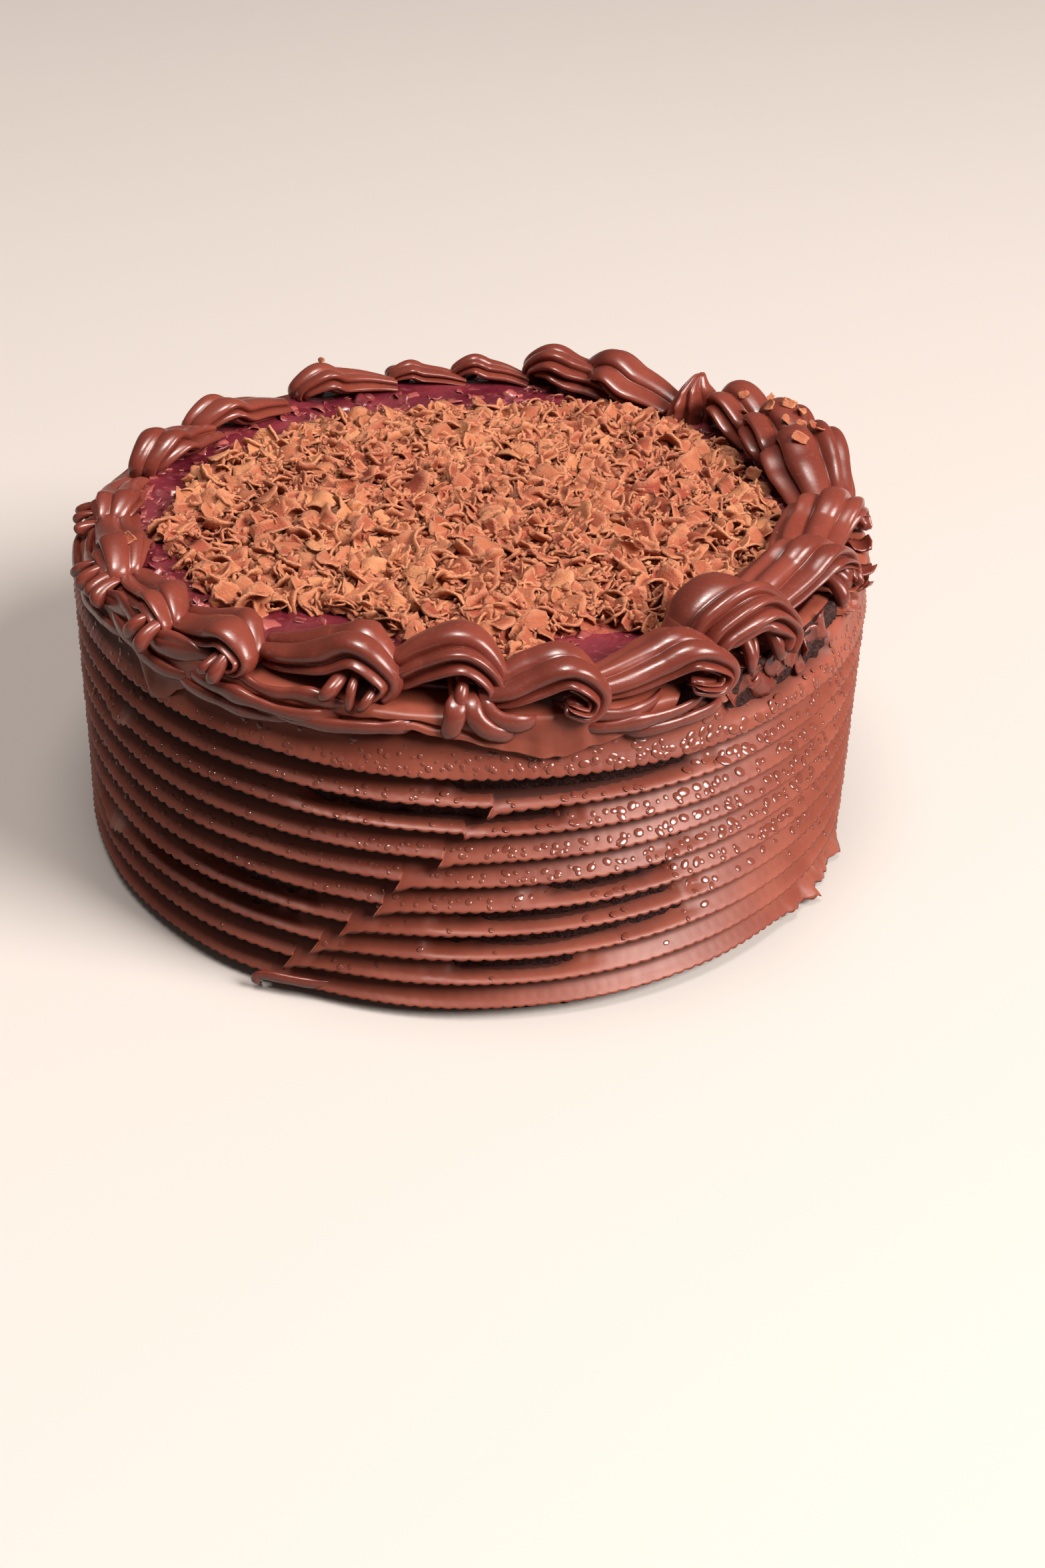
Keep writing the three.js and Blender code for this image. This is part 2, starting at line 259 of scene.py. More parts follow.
def hill(value, half_width):
    """1 at zero, 0 beyond the half width and smooth between."""
    return 1 - rise(np.abs(value), 0, half_width)


def rough(points, size, seed=0):
    """Smooth random numbers from -1 to 1 that change over `size` millimetres."""
    place = np.asarray(points) @ lattice_turn / size + seed * SEED_STRIDE
    cell = np.floor(place).astype(int)
    share = smooth(place - cell)
    total = np.zeros(len(place))
    for corner in np.ndindex(2, 2, 2):
        weight = np.where(corner, share, 1 - share).prod(axis=1)
        spot = (cell + corner) % LATTICE_SIZE
        total += weight * lattice[spot[:, 0], spot[:, 1], spot[:, 2]]
    return total


def bumps(points, layers):
    """Random hills of several sizes added up, each layer given as (height, size, seed)."""
    return sum(height * rough(points, size, seed) for height, size, seed in layers)


def on_ring(azimuth, radius, height):
    return np.stack((radius * np.cos(azimuth), radius * np.sin(azimuth), height + 0 * azimuth), axis=-1)


def turn_from(degrees, start):
    """Degrees from one azimuth to another, from -180 to 180."""
    return (degrees - start + 180) % 360 - 180


def near(degrees, place):
    """1 at a place given as (azimuth, half width), 0 beyond it and smooth between."""
    return hill(turn_from(degrees, place[0]), place[1])


print("uneven helpers ready")

# %% [markdown]
# ## Rolling a grid into a drum
# Coat, sponge and glaze are all turned bodies: one section line carried round an axis. `bmesh.ops.spin`
# does that, but with a thousand steps it gets slow, as each step walks the whole mesh again. A flat grid
# made in one call and rolled up does the same at once: its columns become azimuths, its rows the points
# of the section. The rolled edges meet and are welded.

# %% Rolled grid
WELD_DISTANCE = 0.001 * MM


def rolled_grid(rows, columns):
    """A flat grid, with the azimuth of each of its vertices and their row numbers."""
    bm = bmesh.new()
    bmesh.ops.create_grid(bm, x_segments=columns, y_segments=rows - 1, size=0.5)
    flat = np.array([vert.co for vert in bm.verts])
    column = np.round((flat[:, 0] + 0.5) * columns) % columns
    row = np.round((flat[:, 1] + 0.5) * (rows - 1)).astype(int)
    return bm, column * 2 * np.pi / columns, row


def move_to(verts, points):
    """Moves each vertex to its point, given in millimetres."""
    for vert, point in zip(verts, points * MM):
        vert.co = point


def settle(bm, points, bare_and_painted_shade=None):
    """Moves a rolled grid to its points, notes bare sponge and painted shade on each vertex and welds the
    edges that now meet.
    """
    move_to(bm.verts, points)
    if bare_and_painted_shade is not None:
        layer = bm.verts.layers.float.new("bare_and_painted_shade")
        for vert, value in zip(bm.verts, bare_and_painted_shade):
            vert[layer] = value
    rim = [vert for vert in bm.verts if vert.is_boundary]
    bmesh.ops.remove_doubles(bm, verts=rim, dist=WELD_DISTANCE)


print("rolling helpers ready")

# %% [markdown]
# ## The top that everything stands on
# The cake's top isn't quite level: it stands higher at the front. Each topping could be tilted by itself,
# but then they would drift apart, so all of them ask one function how high the icing is below them.

# %% Top level
TOP_HEIGHT = 80.0
TOP_RISE = 2.5
FIT_GAP = 0.35


def tilt(y):
    return -TOP_RISE * y / cake_radius


def top_level(y):
    return TOP_HEIGHT + FIT_GAP + tilt(y)


print(f"top from {top_level(cake_radius):.1f} to {top_level(-cake_radius):.1f} mm")

# %% [markdown]
# ## Icing finish
# Chocolate icing is fat and sugar: satin, dark, a touch translucent, with faint drag lines where a tool
# passed over it. Two noises mix three browns, and a fine stretched noise gives the drag lines as bump.
# Where the sponge is bare a number on each vertex darkens the icing to crumb black and makes it rougher,
# and the same number paints shade up in the grooves and on the shaded left side. Fixed values, such as
# the subsurface weight, are set on the shader itself.

# %% Icing finish
DRAG_DEPTH = 0.04 * MM
ICING_FLECK = shade(158, 88, 70)
# Near-black crumb where the sponge is bare, and also the colour of the painted shade in the grooves.
CRUMB_AND_SHADE = shade(44, 20, 17)
ICING_BODY = {
    "Specular Tint": (1.0, 0.93, 0.89, 1.0),
    "Subsurface Weight": 0.12,
    "Subsurface Radius": (1.0, 0.4, 0.25),
    "Subsurface Scale": 1.5 * MM,
}


def icing_finish(name, deep, light, roughness, gloss):
    finish = Finish(name, {"Specular IOR Level": gloss, **ICING_BODY})
    clouds = finish.grain(60, 4)
    specks = finish.grain(900, 2)
    thick = finish.blend(finish.step(clouds, 0.35, 0.7), deep, light)
    flecked = finish.blend(finish.step(specks, 0.58, 0.75) * 0.25, thick, ICING_FLECK)
    bare_and_painted_shade = finish.number("bare_and_painted_shade")
    # Darkened towards crumb black: bare sponge, and painted shade in the grooves and on the shaded left.
    finish.feed("Base Color", finish.blend(bare_and_painted_shade, flecked, CRUMB_AND_SHADE))
    finish.feed("Roughness", roughness + 0.12 * finish.grain(220, 3) + 0.4 * bare_and_painted_shade)
    lines = finish.grain(500, 3, stretch=(0.25, 0.25, 2.2))
    finish.bump(lines + 0.35 * finish.grain(1800, 2), DRAG_DEPTH)
    return finish


combed_icing = icing_finish("combed_icing", shade(139, 67, 50), shade(157, 82, 63), 0.36, 0.38)
piped_icing = icing_finish("piped_icing", shade(116, 50, 38), shade(132, 61, 47), 0.22, 0.5)
print("icing finishes ready")

# %% [markdown]
# ## The comb's ridges
# A toothed comb held against the turning cake scoops hollow bands into the icing. Each band slopes out
# towards the bottom and ends in a thin lip that hangs over the groove below. A point on the coat has two
# addresses: its ridge, and its step, which runs from 0 at the lip to 1 up in the groove. Everything that
# the comb did wrong is written as a function of ridge, step and azimuth.

# %% Ridge shape
RIDGE_COUNT = 10
RIDGE_PITCH = 7.1
LOWEST_LIP = 4.0
RIDGE_DEPTH = 5.2
LIP_RADIUS = cake_radius - 0.5
GROOVE_RADIUS = LIP_RADIUS - RIDGE_DEPTH
LIP_UNDERCUT = 1.6
LIP_EDGE = 0.3
FACE_HOLLOW = 2.4
TOP_FACE_HOLLOW = 1.7
TOP_FACE_OUT = 1.6
SCRAPE_DEPTH = 5.0
SCRAPE_STEPS = (0.06, 0.18)
TOP_SCRAPE_STEPS = (0.34, 0.5)


def lip_height(ridge):
    return LOWEST_LIP + ridge * RIDGE_PITCH


print(f"{RIDGE_COUNT} ridges, lips from {lip_height(0)} to {lip_height(RIDGE_COUNT - 1):.1f} mm")

# %% [markdown]
# ## How the comb wandered
# The lips aren't perfect rings. Where the comb was lifted off, a slanting seam of hooked points is left,
# each drooping below its lip. In two places on the left the comb dipped, and where it scraped deep the
# dark sponge shows in the groove. Such faults could be sculpted by hand, but as functions of ridge and
# azimuth they stay easy to move. CLAWS has an azimuth and a drop for each ridge. A dip or a bare groove is
# (ridge, azimuth, half width, depth), and a depth below zero keeps a groove covered.

# %% Comb faults
CLAWS = np.array((
    (-117.0, 1.6), (-113.4, 4.6), (-109.2, 4.8), (-105.0, 4.8), (-100.4, 4.2),
    (-98.0, 3.0), (-92.5, 2.6), (-90.0, 0.8), (-86.4, 3.0), (100.0, 1.0),
))
CLAW_FADE = (0.8, 6.0)
CLAW_SPIKE = 0.55
CLAW_EDGE = 0.35
OVERLAP_PROUD = 0.8
OVERLAP_FADE = 7.0
COMB_DIPS = ((2, -153.0, 5.5, 3.4), (7, -147.5, 4.5, 2.6))
BARE_GROOVES = (
    (8, -75, 28, 1.2), (7, -94, 24, 1.1), (3, -74, 26, 1.3), (2, -76, 26, 1.3), (1, -82, 18, 1.0),
    (2, -128, 22, 0.8), (3, -120, 18, 0.8), (5, -60, 12, 0.5), (4, -70, 20, 1.0), (9, -41, 17, 2.4),
    (9, -120, 80, -1.5), (9, 90, 120, -1.5),
)
GROOVE_NOISE = ((0.4, 16, 11), (0.25, 4, 4))
GROOVE_NOISE_START = 0.3
GROOVE_BARE = (0.1, 0.9)


def claw_drop(degrees, ridge):
    """How far a lip hangs down just past the seam, and 0 before it."""
    past = turn_from(degrees, CLAWS[ridge, 0])
    behind = np.maximum(past, 0)
    spike = CLAW_SPIKE * np.exp(-behind / CLAW_FADE[0])
    sag = (1 - CLAW_SPIKE) * np.exp(-behind / CLAW_FADE[1])
    return CLAWS[ridge, 1] * (spike + sag) * rise(past, -CLAW_EDGE, 0)


def overlap(degrees, ridge):
    """The icing past the seam was laid over the icing before it, so it stands a little proud."""
    past = turn_from(degrees, CLAWS[ridge, 0])
    return OVERLAP_PROUD * np.exp(-np.maximum(past, 0) / OVERLAP_FADE) * rise(past, -CLAW_EDGE, 0)


def faults_of(degrees, ridge, faults):
    return sum(depth * near(degrees, (at, width)) * (ridge == row) for row, at, width, depth in faults)


def scraped(degrees, ridge, points):
    """From 0 where the groove keeps its icing to 1 where the sponge is bare."""
    bare = faults_of(degrees, ridge, BARE_GROOVES)
    ragged = bumps(points, GROOVE_NOISE) * rise(bare, 0.0, GROOVE_NOISE_START)
    return rise(bare + ragged, *GROOVE_BARE)


def bare_share(degrees, ridge, step, points):
    """How bare the face of a ridge is: the lip keeps its icing, and the cut starts a little above it."""
    top_ridge = ridge == RIDGE_COUNT - 1
    start = np.where(top_ridge, TOP_SCRAPE_STEPS[0], SCRAPE_STEPS[0])
    end = np.where(top_ridge, TOP_SCRAPE_STEPS[1], SCRAPE_STEPS[1])
    return scraped(degrees, ridge, points) * rise(step, start, end)


print(f"{len(CLAWS)} claws on the seam, {len(COMB_DIPS)} dips, {len(BARE_GROOVES)} bare grooves")

# %% [markdown]
# ## The face of a ridge
# The comb chattered as it went, which scalloped the lips into beads. At the lower right the lowest lip
# was dragged out into a skirt. One function gives the coat's surface for any azimuth, ridge and step, so
# that later pieces can ask it where the icing is. In it `out` runs from 0 in the groove to 1 at the lip,
# and a high power of it keeps a fault close to the lip. A last fine shiver acts only at azimuths written
# below -60 degrees. The coat counts from 0 to 360 and stays smooth, and the droplets, which count from
# -180 to 180, are stirred by it at the front and the left.

# %% Comb face
BEAD_SPACING = 2.9
BEAD_SPACING_STEP = 0.15
BEAD_SHIFT = ((1.2, 14, 5),)
BEAD_SHARPNESS = 0.7
BEAD_SIZES = (0.75, ((0.35, 30, 5),))
BEAD_OUT = 0.42
BEAD_LEVEL = 0.6
BEAD_DOWN = 0.75
CLAW_LEAN = 0.75
LIP_WANDER = ((0.35, 45, 3), (0.15, 12, 7))
LIP_BULGE = ((0.45, 25, 1),)
SKIRT_PLACE = (-24.0, 17.0)
SKIRT_OUT = 4.2
SKIRT_DOWN = 2.6
SKIRT_RAGS = ((1.0, 3.0, 14),)
SKIRT_LEAST = 0.3
SHIVER_WAVES = 150
SHIVER_SLANT = 1.6
SHIVER_WANDER = ((2, 20, 2),)
SHIVER_START = (60, 110)
SHIVER_DEPTH = 0.08


def lip_beads(azimuth, ridge, points):
    """Scallops along a lip: rounded beads with sharp notches between them."""
    count = np.round(2 * np.pi * cake_radius / (BEAD_SPACING + BEAD_SPACING_STEP * (ridge % 3)))
    phase = count * azimuth / 2 + bumps(points, BEAD_SHIFT) + ridge
    return np.abs(np.sin(phase)) ** BEAD_SHARPNESS * (BEAD_SIZES[0] + bumps(points, BEAD_SIZES[1]))


def shiver(azimuth, height, points):
    """Fine waves from -1 to 1 that fade in where the azimuth falls below the start."""
    phase = SHIVER_WAVES * azimuth + SHIVER_SLANT * height + bumps(points, SHIVER_WANDER)
    return np.sin(phase) * rise(-np.degrees(azimuth), *SHIVER_START)


def comb_section(ridge, step, below, bare):
    """The clean section of a ridge: its radius, its height over the lip and how far out it is."""
    top_face = (ridge == RIDGE_COUNT - 1) & ~below
    hollow = np.where(top_face, TOP_FACE_HOLLOW, FACE_HOLLOW)
    out = np.where(below, 1 - step, (1 - step) ** hollow)
    climb = RIDGE_PITCH + LIP_UNDERCUT - LIP_EDGE
    height = np.where(below, LIP_UNDERCUT * step ** 0.8, LIP_EDGE + step * climb)
    radius = GROOVE_RADIUS + out * RIDGE_DEPTH - np.where(below, 0, SCRAPE_DEPTH * bare)
    return radius + np.where(top_face, TOP_FACE_OUT * (1 - out), 0), height, out


def comb_face(azimuth, ridge, step, below):
    """Points of the coat. `below` marks points on a lip's underside, where the step runs inwards."""
    degrees = np.degrees(azimuth)
    lip = lip_height(ridge)
    ideal = on_ring(azimuth, LIP_RADIUS, lip + step * RIDGE_PITCH)
    radius, height, out = comb_section(ridge, step, below, bare_share(degrees, ridge, step, ideal))
    claw = claw_drop(degrees, ridge) * out ** 3
    skirt = near(degrees, SKIRT_PLACE) * (ridge == 0) * out ** 2
    beads = lip_beads(azimuth, ridge, ideal)
    height += lip + bumps(ideal, LIP_WANDER) * out ** 0.7 - BEAD_DOWN * beads * out ** 8
    height -= claw + faults_of(degrees, ridge, COMB_DIPS) * out ** 1.3 + SKIRT_DOWN * skirt
    radius += BEAD_OUT * (beads - BEAD_LEVEL) * out ** 3
    radius += SKIRT_OUT * skirt * np.clip(bumps(ideal, SKIRT_RAGS) + SKIRT_LEAST, 0, 1)
    radius += overlap(degrees, ridge) * (0.3 + 0.7 * out) + bumps(ideal, LIP_BULGE) * out
    radius += SHIVER_DEPTH * shiver(azimuth, height, ideal) * 4 * out * (1 - out)
    return on_ring(azimuth - CLAW_LEAN * claw / cake_radius, radius, np.maximum(height, 0))


print(f"beads every {BEAD_SPACING} mm along the lips")

# %% [markdown]
# ## The combed coat
# The coat is laid in two rings of five ridges each. A ring's rows climb each ridge from its underside
# over the lip to the groove, and two more rows at the back close it round the sponge.

# %% Combed coat
COAT_COLUMNS = 1440
COAT_BACK = 3.5
# Painted shade: up in the grooves, and more of it on the shaded left side, the icing's colour is darkened.
GROOVE_SHADE = 0.82
GROOVE_STEPS = (0.26, 0.48)
SHADED_SIDE = (-155.0, 75.0)
SHADED_EXTRA = 0.3
SHADED_STEPS = (0.12, 0.34)
SHADED_TOP = (-170.0, 55.0)
UNDERSIDE_STEPS = (0.9, 0.55, 0.25, 0.06)
FACE_STEPS = (0.0, 0.03, 0.08, 0.14, 0.21, 0.3, 0.42, 0.62, 1.0)


def painted_shade_share(degrees, ridge, step):
    """Painted shade up in the grooves. On the shaded left it starts nearer to the lip, and there it also
    reaches the top ridge.
    """
    side = near(degrees, SHADED_SIDE)
    start, end = (np.interp(side, (0, 1), ends) for ends in zip(GROOVE_STEPS, SHADED_STEPS))
    bare_and_painted_shade = (GROOVE_SHADE + SHADED_EXTRA * side) * rise(step, start, end)
    return bare_and_painted_shade * np.where(ridge < RIDGE_COUNT - 1, 1, near(degrees, SHADED_TOP))


def coat_between(name, first, last):
    """A ring of ridges. Its rows are (ridge, step, whether below a lip), and two more close its back."""
    rows = []
    for ridge in range(first, last + 1):
        rows += [(ridge, step, True) for step in UNDERSIDE_STEPS]
        rows += [(ridge, step, False) for step in FACE_STEPS]
    backs = (lip_height(last + 1) + LIP_UNDERCUT, lip_height(first) + LIP_UNDERCUT if first else 0)
    table = np.array(rows + [(0, 1, False)] * (len(backs) + 1))
    bm, azimuth, row = rolled_grid(len(table), COAT_COLUMNS)
    row = row % (len(table) - 1)
    ridge = table[row, 0].astype(int)
    step = table[row, 1]
    below = table[row, 2] > 0.5
    points = comb_face(azimuth, ridge, step, below)
    for number, height in enumerate(backs):
        behind = row == len(rows) + number
        points[behind] = on_ring(azimuth[behind], GROOVE_RADIUS - COAT_BACK, height)
    degrees = np.degrees(azimuth)
    bare = bare_share(degrees, ridge, step, points) * ~below
    # Each vertex keeps the painted shade of its groove, or near black where the sponge is bare, whichever is
    # larger.
    settle(bm, points, np.maximum(painted_shade_share(degrees, ridge, step), bare))
    finish_piece(bm, name, combed_icing, "icing_coat")


coat_between("icing_ridges_lower", 0, RIDGE_COUNT // 2 - 1)
coat_between("icing_ridges_upper", RIDGE_COUNT // 2, RIDGE_COUNT - 1)

# %% [markdown]
# ## The smeared top band
# Above the highest ridge a spatula dragged icing over the rim. Its lower edge is a ragged flap at no
# constant height, so a short table of azimuths and heights bends the edge, and noise does the rest. At
# the front right the icing is torn away and the sponge shows. A boolean would cut that hole with a clean
# edge, so the band is sunk into the sponge there instead, by an amount that noise frays.

# %% Top band
BAND_EDGE = np.array((
    (-180, 76), (-160, 75), (-150, 76), (-144, 75), (-141, 73), (-139, 69.5), (-136.5, 66.5), (-134, 67),
    (-132, 71), (-129, 73.5), (-120, 74.5), (-110, 74.5), (-104, 76), (-97, 77.5), (-90, 75), (-82, 72),
    (-78, 71), (-75, 73), (-70, 74), (-60, 76), (-52, 77.5), (-40, 77), (-20, 76), (20, 77), (60, 75.5),
    (100, 76.5), (140, 75.5), (180, 76),
))
BAND_LEVEL = 76.6
BAND_FOOT = 69.5
BAND_FOOT_INSET = 0.4
BAND_BACK = 95.2
BAND_OUT = 3.2
BAND_UNDER = ((0.0, 1.8), (0.45, 1.3), (0.8, 0.5), (0.97, 0.05))
BAND_FACE_ROWS = 14
BAND_FACE_RISE = 2.5
BAND_FACE_SLOPE = 0.8
RIM_SECTION = (
    (97.4, 79.5), (97.0, 79.85), (96.4, 80.1), (95.4, 80.25), (94.0, 80.3),
    (92.0, 80.2), (89.0, 80.15), (86.0, 80.1), (74.0, 80.0),
)
RIM_INNER = 90.0
RIM_THICKNESS = 2.0
BARE_RIM = ((-56, 6, 80.5, 3.5), (-48, 9, 79, 5), (-37, 10, 78.5, 6), (-27, 6, 80, 4))
BARE_SPREAD = 1.25
BARE_DEPTH = 4.4
TORN_NOISE = ((0.45, 4.5, 2), (0.35, 1.8, 5))
TORN_EDGE = (0.1, 0.5)
WORN_PLACE = (140.0, 66.0)
WORN_RADII = (88.0, 99.0)
WORN_FALL = 5.5


def rim_fall(degrees, radius):
    """How far the rim is rounded off behind the shells at the back left."""
    return WORN_FALL * near(degrees, WORN_PLACE) * rise(radius, *WORN_RADII)


def bare_rim(degrees, height, points):
    """From 0 on whole icing to 1 where it is torn off the rim."""
    worn = np.zeros(len(degrees))
    for at, half_turn, level, half_height in BARE_RIM:
        across = turn_from(degrees, at) / half_turn
        up = (height - level) / half_height
        worn = np.maximum(worn, BARE_SPREAD - np.hypot(across, up))
    return rise(worn + bumps(points, TORN_NOISE) * (worn > 0), *TORN_EDGE)


def band_rows():
    """Rows of the band's section, each (radius, height, share of the face below the rim or -1)."""
    face_radius = BAND_BACK + BAND_OUT
    rows = [(GROOVE_RADIUS - COAT_BACK, BAND_FOOT, -1), (GROOVE_RADIUS - BAND_FOOT_INSET, BAND_FOOT, -1)]
    rows += [(BAND_BACK + out * BAND_OUT, BAND_LEVEL + up, 0) for out, up in BAND_UNDER]
    for share in np.linspace(0, 1, BAND_FACE_ROWS):
        rows.append((face_radius - BAND_FACE_SLOPE * share, BAND_LEVEL + BAND_FACE_RISE * share, share))
    rows += [(radius, height, 1) for radius, height in RIM_SECTION]
    rows += [(RIM_SECTION[-1][0], TOP_HEIGHT - RIM_THICKNESS, -1), rows[0]]
    return np.array(rows)


print(f"{len(band_rows())} rows in the band's section, {len(BAND_EDGE)} points along its edge")

# %% [markdown]
# ## Smearing the band
# The section is carried round the cake and then disturbed: the edge follows its table, a fold runs along
# the front, a blob hangs at the left, and blisters roughen the front right. All of it is added to the
# radius and the height of each vertex before the grid is settled once.

# %% Smeared band
EDGE_WANDER = ((0.9, 9, 4), (0.5, 3, 8))
EDGE_MARGIN = 0.5
BAND_LUMPS = ((1.0, 16, 6), (0.5, 5, 2))
RIM_CALM = 0.5
BLISTERS = ((1.1, 2.8, 9),)
BLISTER_PLACE = (-72.0, 30.0)
FOLD_PLACE = (-104.0, 26.0)
FOLD_LEVEL = 0.6
FOLD_WANDER = ((0.2, 14, 3),)
FOLD_WIDTH = 0.2
FOLD_DEPTH = 2.4
BLOB_PLACE = (-136.5, 5.0)
BLOB_OUT = 2.0
BLOB_SHARES = (0.3, 0.6)


def top_band():
    rows = band_rows()
    bm, azimuth, row = rolled_grid(len(rows), COAT_COLUMNS)
    radius, height, share = rows[row].T
    loose = share >= 0
    outer = loose * (radius > RIM_INNER)
    ideal = on_ring(azimuth, radius, height)
    degrees = turn_from(np.degrees(azimuth), 0)
    low = (1 - rise(height, BAND_LEVEL + EDGE_MARGIN, TOP_HEIGHT)) * loose
    wander = np.interp(degrees, BAND_EDGE[:, 0], BAND_EDGE[:, 1]) - BAND_LEVEL + bumps(ideal, EDGE_WANDER)
    height = height + wander * low + tilt(ideal[:, 1]) * rise(height, BAND_FOOT, TOP_HEIGHT)
    height = height - rim_fall(degrees, radius) * loose
    lumps = bumps(ideal, BAND_LUMPS) + bumps(ideal, BLISTERS) * near(degrees, BLISTER_PLACE)
    fold_line = FOLD_LEVEL + bumps(on_ring(azimuth, cake_radius, 0), FOLD_WANDER)
    fold = FOLD_DEPTH * hill(share - fold_line, FOLD_WIDTH) * near(degrees, FOLD_PLACE)
    blob = BLOB_OUT * near(degrees, BLOB_PLACE) * hill(share - BLOB_SHARES[0], BLOB_SHARES[1])
    radius = radius + outer * (lumps * (1 - RIM_CALM * np.maximum(share, 0)) - fold + blob)
    bare = bare_rim(degrees, height, ideal) * outer
    settle(bm, on_ring(azimuth, radius - BARE_DEPTH * bare, height))
    finish_piece(bm, "icing_top_band", combed_icing, "icing_coat")


top_band()

# %% [markdown]
# ## Sponge
# The cake itself shows only in the scraped grooves and at the torn rim, but there it has to look like
# crumb: nearly black, pitted and moist. The drum is rolled like the coat, and each vertex of its wall is
# pushed in or out by noise at crumb size, with bump for the finest pits.

# %% Sponge
SPONGE_RADIUS = GROOVE_RADIUS + 0.5
SPONGE_TOP = 79.9
SPONGE_LID = ((2, 0), (6, 1), (SPONGE_RADIUS, 2))
SPONGE_ROWS = 118
SPONGE_COLUMNS = 760
SPONGE_CORE = 88.0
SPONGE_FALL = 1.2
CRUMB_LUMPS = ((0.55, 2.2, 1), (0.35, 1.1, 5))
CRUMB_PITS = ((1.0, 2.6, 12),)
PIT_START = 0.25
PIT_DEPTH = 1.2


def sponge_finish():
    finish = Finish("sponge_crumb", {"Specular IOR Level": 0.3})
    pits = finish.grain(1500, 4)
    damp = finish.step(finish.grain(350, 3), 0.52, 0.72)
    crumb = finish.blend(finish.step(pits, 0.35, 0.7), shade(28, 12, 11), shade(82, 41, 35))
    finish.feed("Base Color", crumb)
    finish.feed("Roughness", 0.8 - 0.55 * damp)
    finish.bump(pits + finish.grain(600, 3), 0.9 * MM)
    return finish


def make_sponge():
    wall = [(SPONGE_RADIUS, SPONGE_TOP * row / SPONGE_ROWS) for row in range(SPONGE_ROWS + 1)]
    lid = [(SPONGE_RADIUS - inset, SPONGE_TOP - drop) for inset, drop in SPONGE_LID]
    rows = np.array([(0, 0), *wall, *lid])
    bm, azimuth, row = rolled_grid(len(rows), SPONGE_COLUMNS)
    radius, height = rows[row].T
    ideal = on_ring(azimuth, radius, height)
    pits = np.maximum(bumps(ideal, CRUMB_PITS) - PIT_START, 0)
    crumb = (bumps(ideal, CRUMB_LUMPS) - PIT_DEPTH * pits) * (radius > SPONGE_CORE)
    fall = tilt(ideal[:, 1]) - SPONGE_FALL * rim_fall(np.degrees(azimuth), radius)
    height = height + fall * rise(height, BAND_FOOT, TOP_HEIGHT)
    settle(bm, on_ring(azimuth, radius + crumb, height))
    finish_piece(bm, "sponge_body", sponge_finish(), "sponge")


make_sponge()

# %% [markdown]
# ## Fruit glaze
# The glaze is a thin pool of red jelly. It could be glass round a coloured volume, but that renders
# slowly. A disc of rings, dented a little by noise, is enough: its look comes from the finish, a dark red
# with a smooth clear coat that mirrors the room.

# %% Fruit glaze
GLAZE_RADIUS = 87.0
GLAZE_DEPTH = 1.4
GLAZE_RINGS = 90
GLAZE_COLUMNS = 400
GLAZE_WAVES = ((0.25, 9, 3), (0.12, 3, 6))
GLAZE_BODY = {
    "Specular IOR Level": 0.5,
    "Coat Weight": 0.4,
    "Coat Roughness": 0.08,
    "Subsurface Weight": 0.2,
    "Subsurface Radius": (1.0, 0.15, 0.2),
    "Subsurface Scale": 1.5 * MM,
}


def glaze_level(y):
    return top_level(y) + GLAZE_DEPTH


def glaze_finish():
    finish = Finish("fruit_glaze", GLAZE_BODY)
    clouds = finish.grain(70, 4)
    specks = finish.grain(420, 4)
    deep = finish.blend(finish.step(clouds, 0.35, 0.7), shade(98, 24, 37), shade(130, 46, 55))
    finish.feed("Base Color", finish.blend(finish.step(specks, 0.56, 0.72) * 0.5, deep, shade(164, 84, 86)))
    finish.feed("Roughness", 0.2 + 0.25 * finish.grain(160, 3))
    finish.bump(finish.grain(180, 3) + 0.4 * finish.grain(700, 2), 0.6 * MM)
    return finish


def disc_rows(radius, rings, base, top):
    """Section of a disc from the middle of its underside to the middle of its top."""
    upper = [(radius * (1 - ring / rings), top) for ring in range(rings + 1)]
    return np.array([(0, base), (radius, base), *upper])


def make_glaze():
    rows = disc_rows(GLAZE_RADIUS, GLAZE_RINGS, TOP_HEIGHT, glaze_level(0))
    bm, azimuth, row = rolled_grid(len(rows), GLAZE_COLUMNS)
    radius, height = rows[row].T
    ideal = on_ring(azimuth, radius, height)
    waves = bumps(ideal, GLAZE_WAVES) * (row > 1)
    settle(bm, on_ring(azimuth, radius, height + tilt(ideal[:, 1]) + waves))
    finish_piece(bm, "fruit_glaze_pool", glaze_finish(), "fruit_glaze")


make_glaze()

# %% [markdown]
# ## Piped shells
# A shell is one squeeze of a bag with a star tip. The icing starts in a few hanging strands, swells up
# and back over a crown, and thins to a tail that the next shell covers. The table gives each shell's tail
# and head as azimuths, its height, how far it lies outside the ring and its number of strand ends. One
# shell is only an upright drop. Each is a rope along a smooth curve through a few stations, which are
# written as shares of its height so that small shells and large ones keep the same form.

# %% Shell line
SHELLS = (
    (3, 22, 17.8, -1, 0), (21, 32, 18, -1, 1), (33, 43.5, 15, 0, 2), (44, 50.5, 14.5, -1, 0),
    (53.5, 70.5, 14.5, -0.5, 0), (66.5, 81.5, 13.3, 0, 2), (83, 95, 8.4, 0.5, 0), (95, 107, 7.4, 0, 2),
    (109, 127, 10.4, -2.4, 0), (133, 151.5, 10.7, -2.4, 2), (152, 170.5, 11.8, -1.8, 0),
    (175, 189.5, 8.2, 1.8, 3), (188, 209, 9.4, 2.4, 4), (210, 225.5, 9.4, 3.4, 3), (226, 240, 10.7, 2.8, 2),
    (242, 260.5, 14.2, 1, 3), (260, 274, 16, -1.5, 2), (274, 287, 13.5, 4, 0), (288, 306, 12.5, 3.5, 0),
    (306, 319, 18, -2.5, 3), (320, 344, 14.5, -4, 3), (339, 362, 14.3, -3, 0),
)
SHELL_RING_RADIUS = 88.0
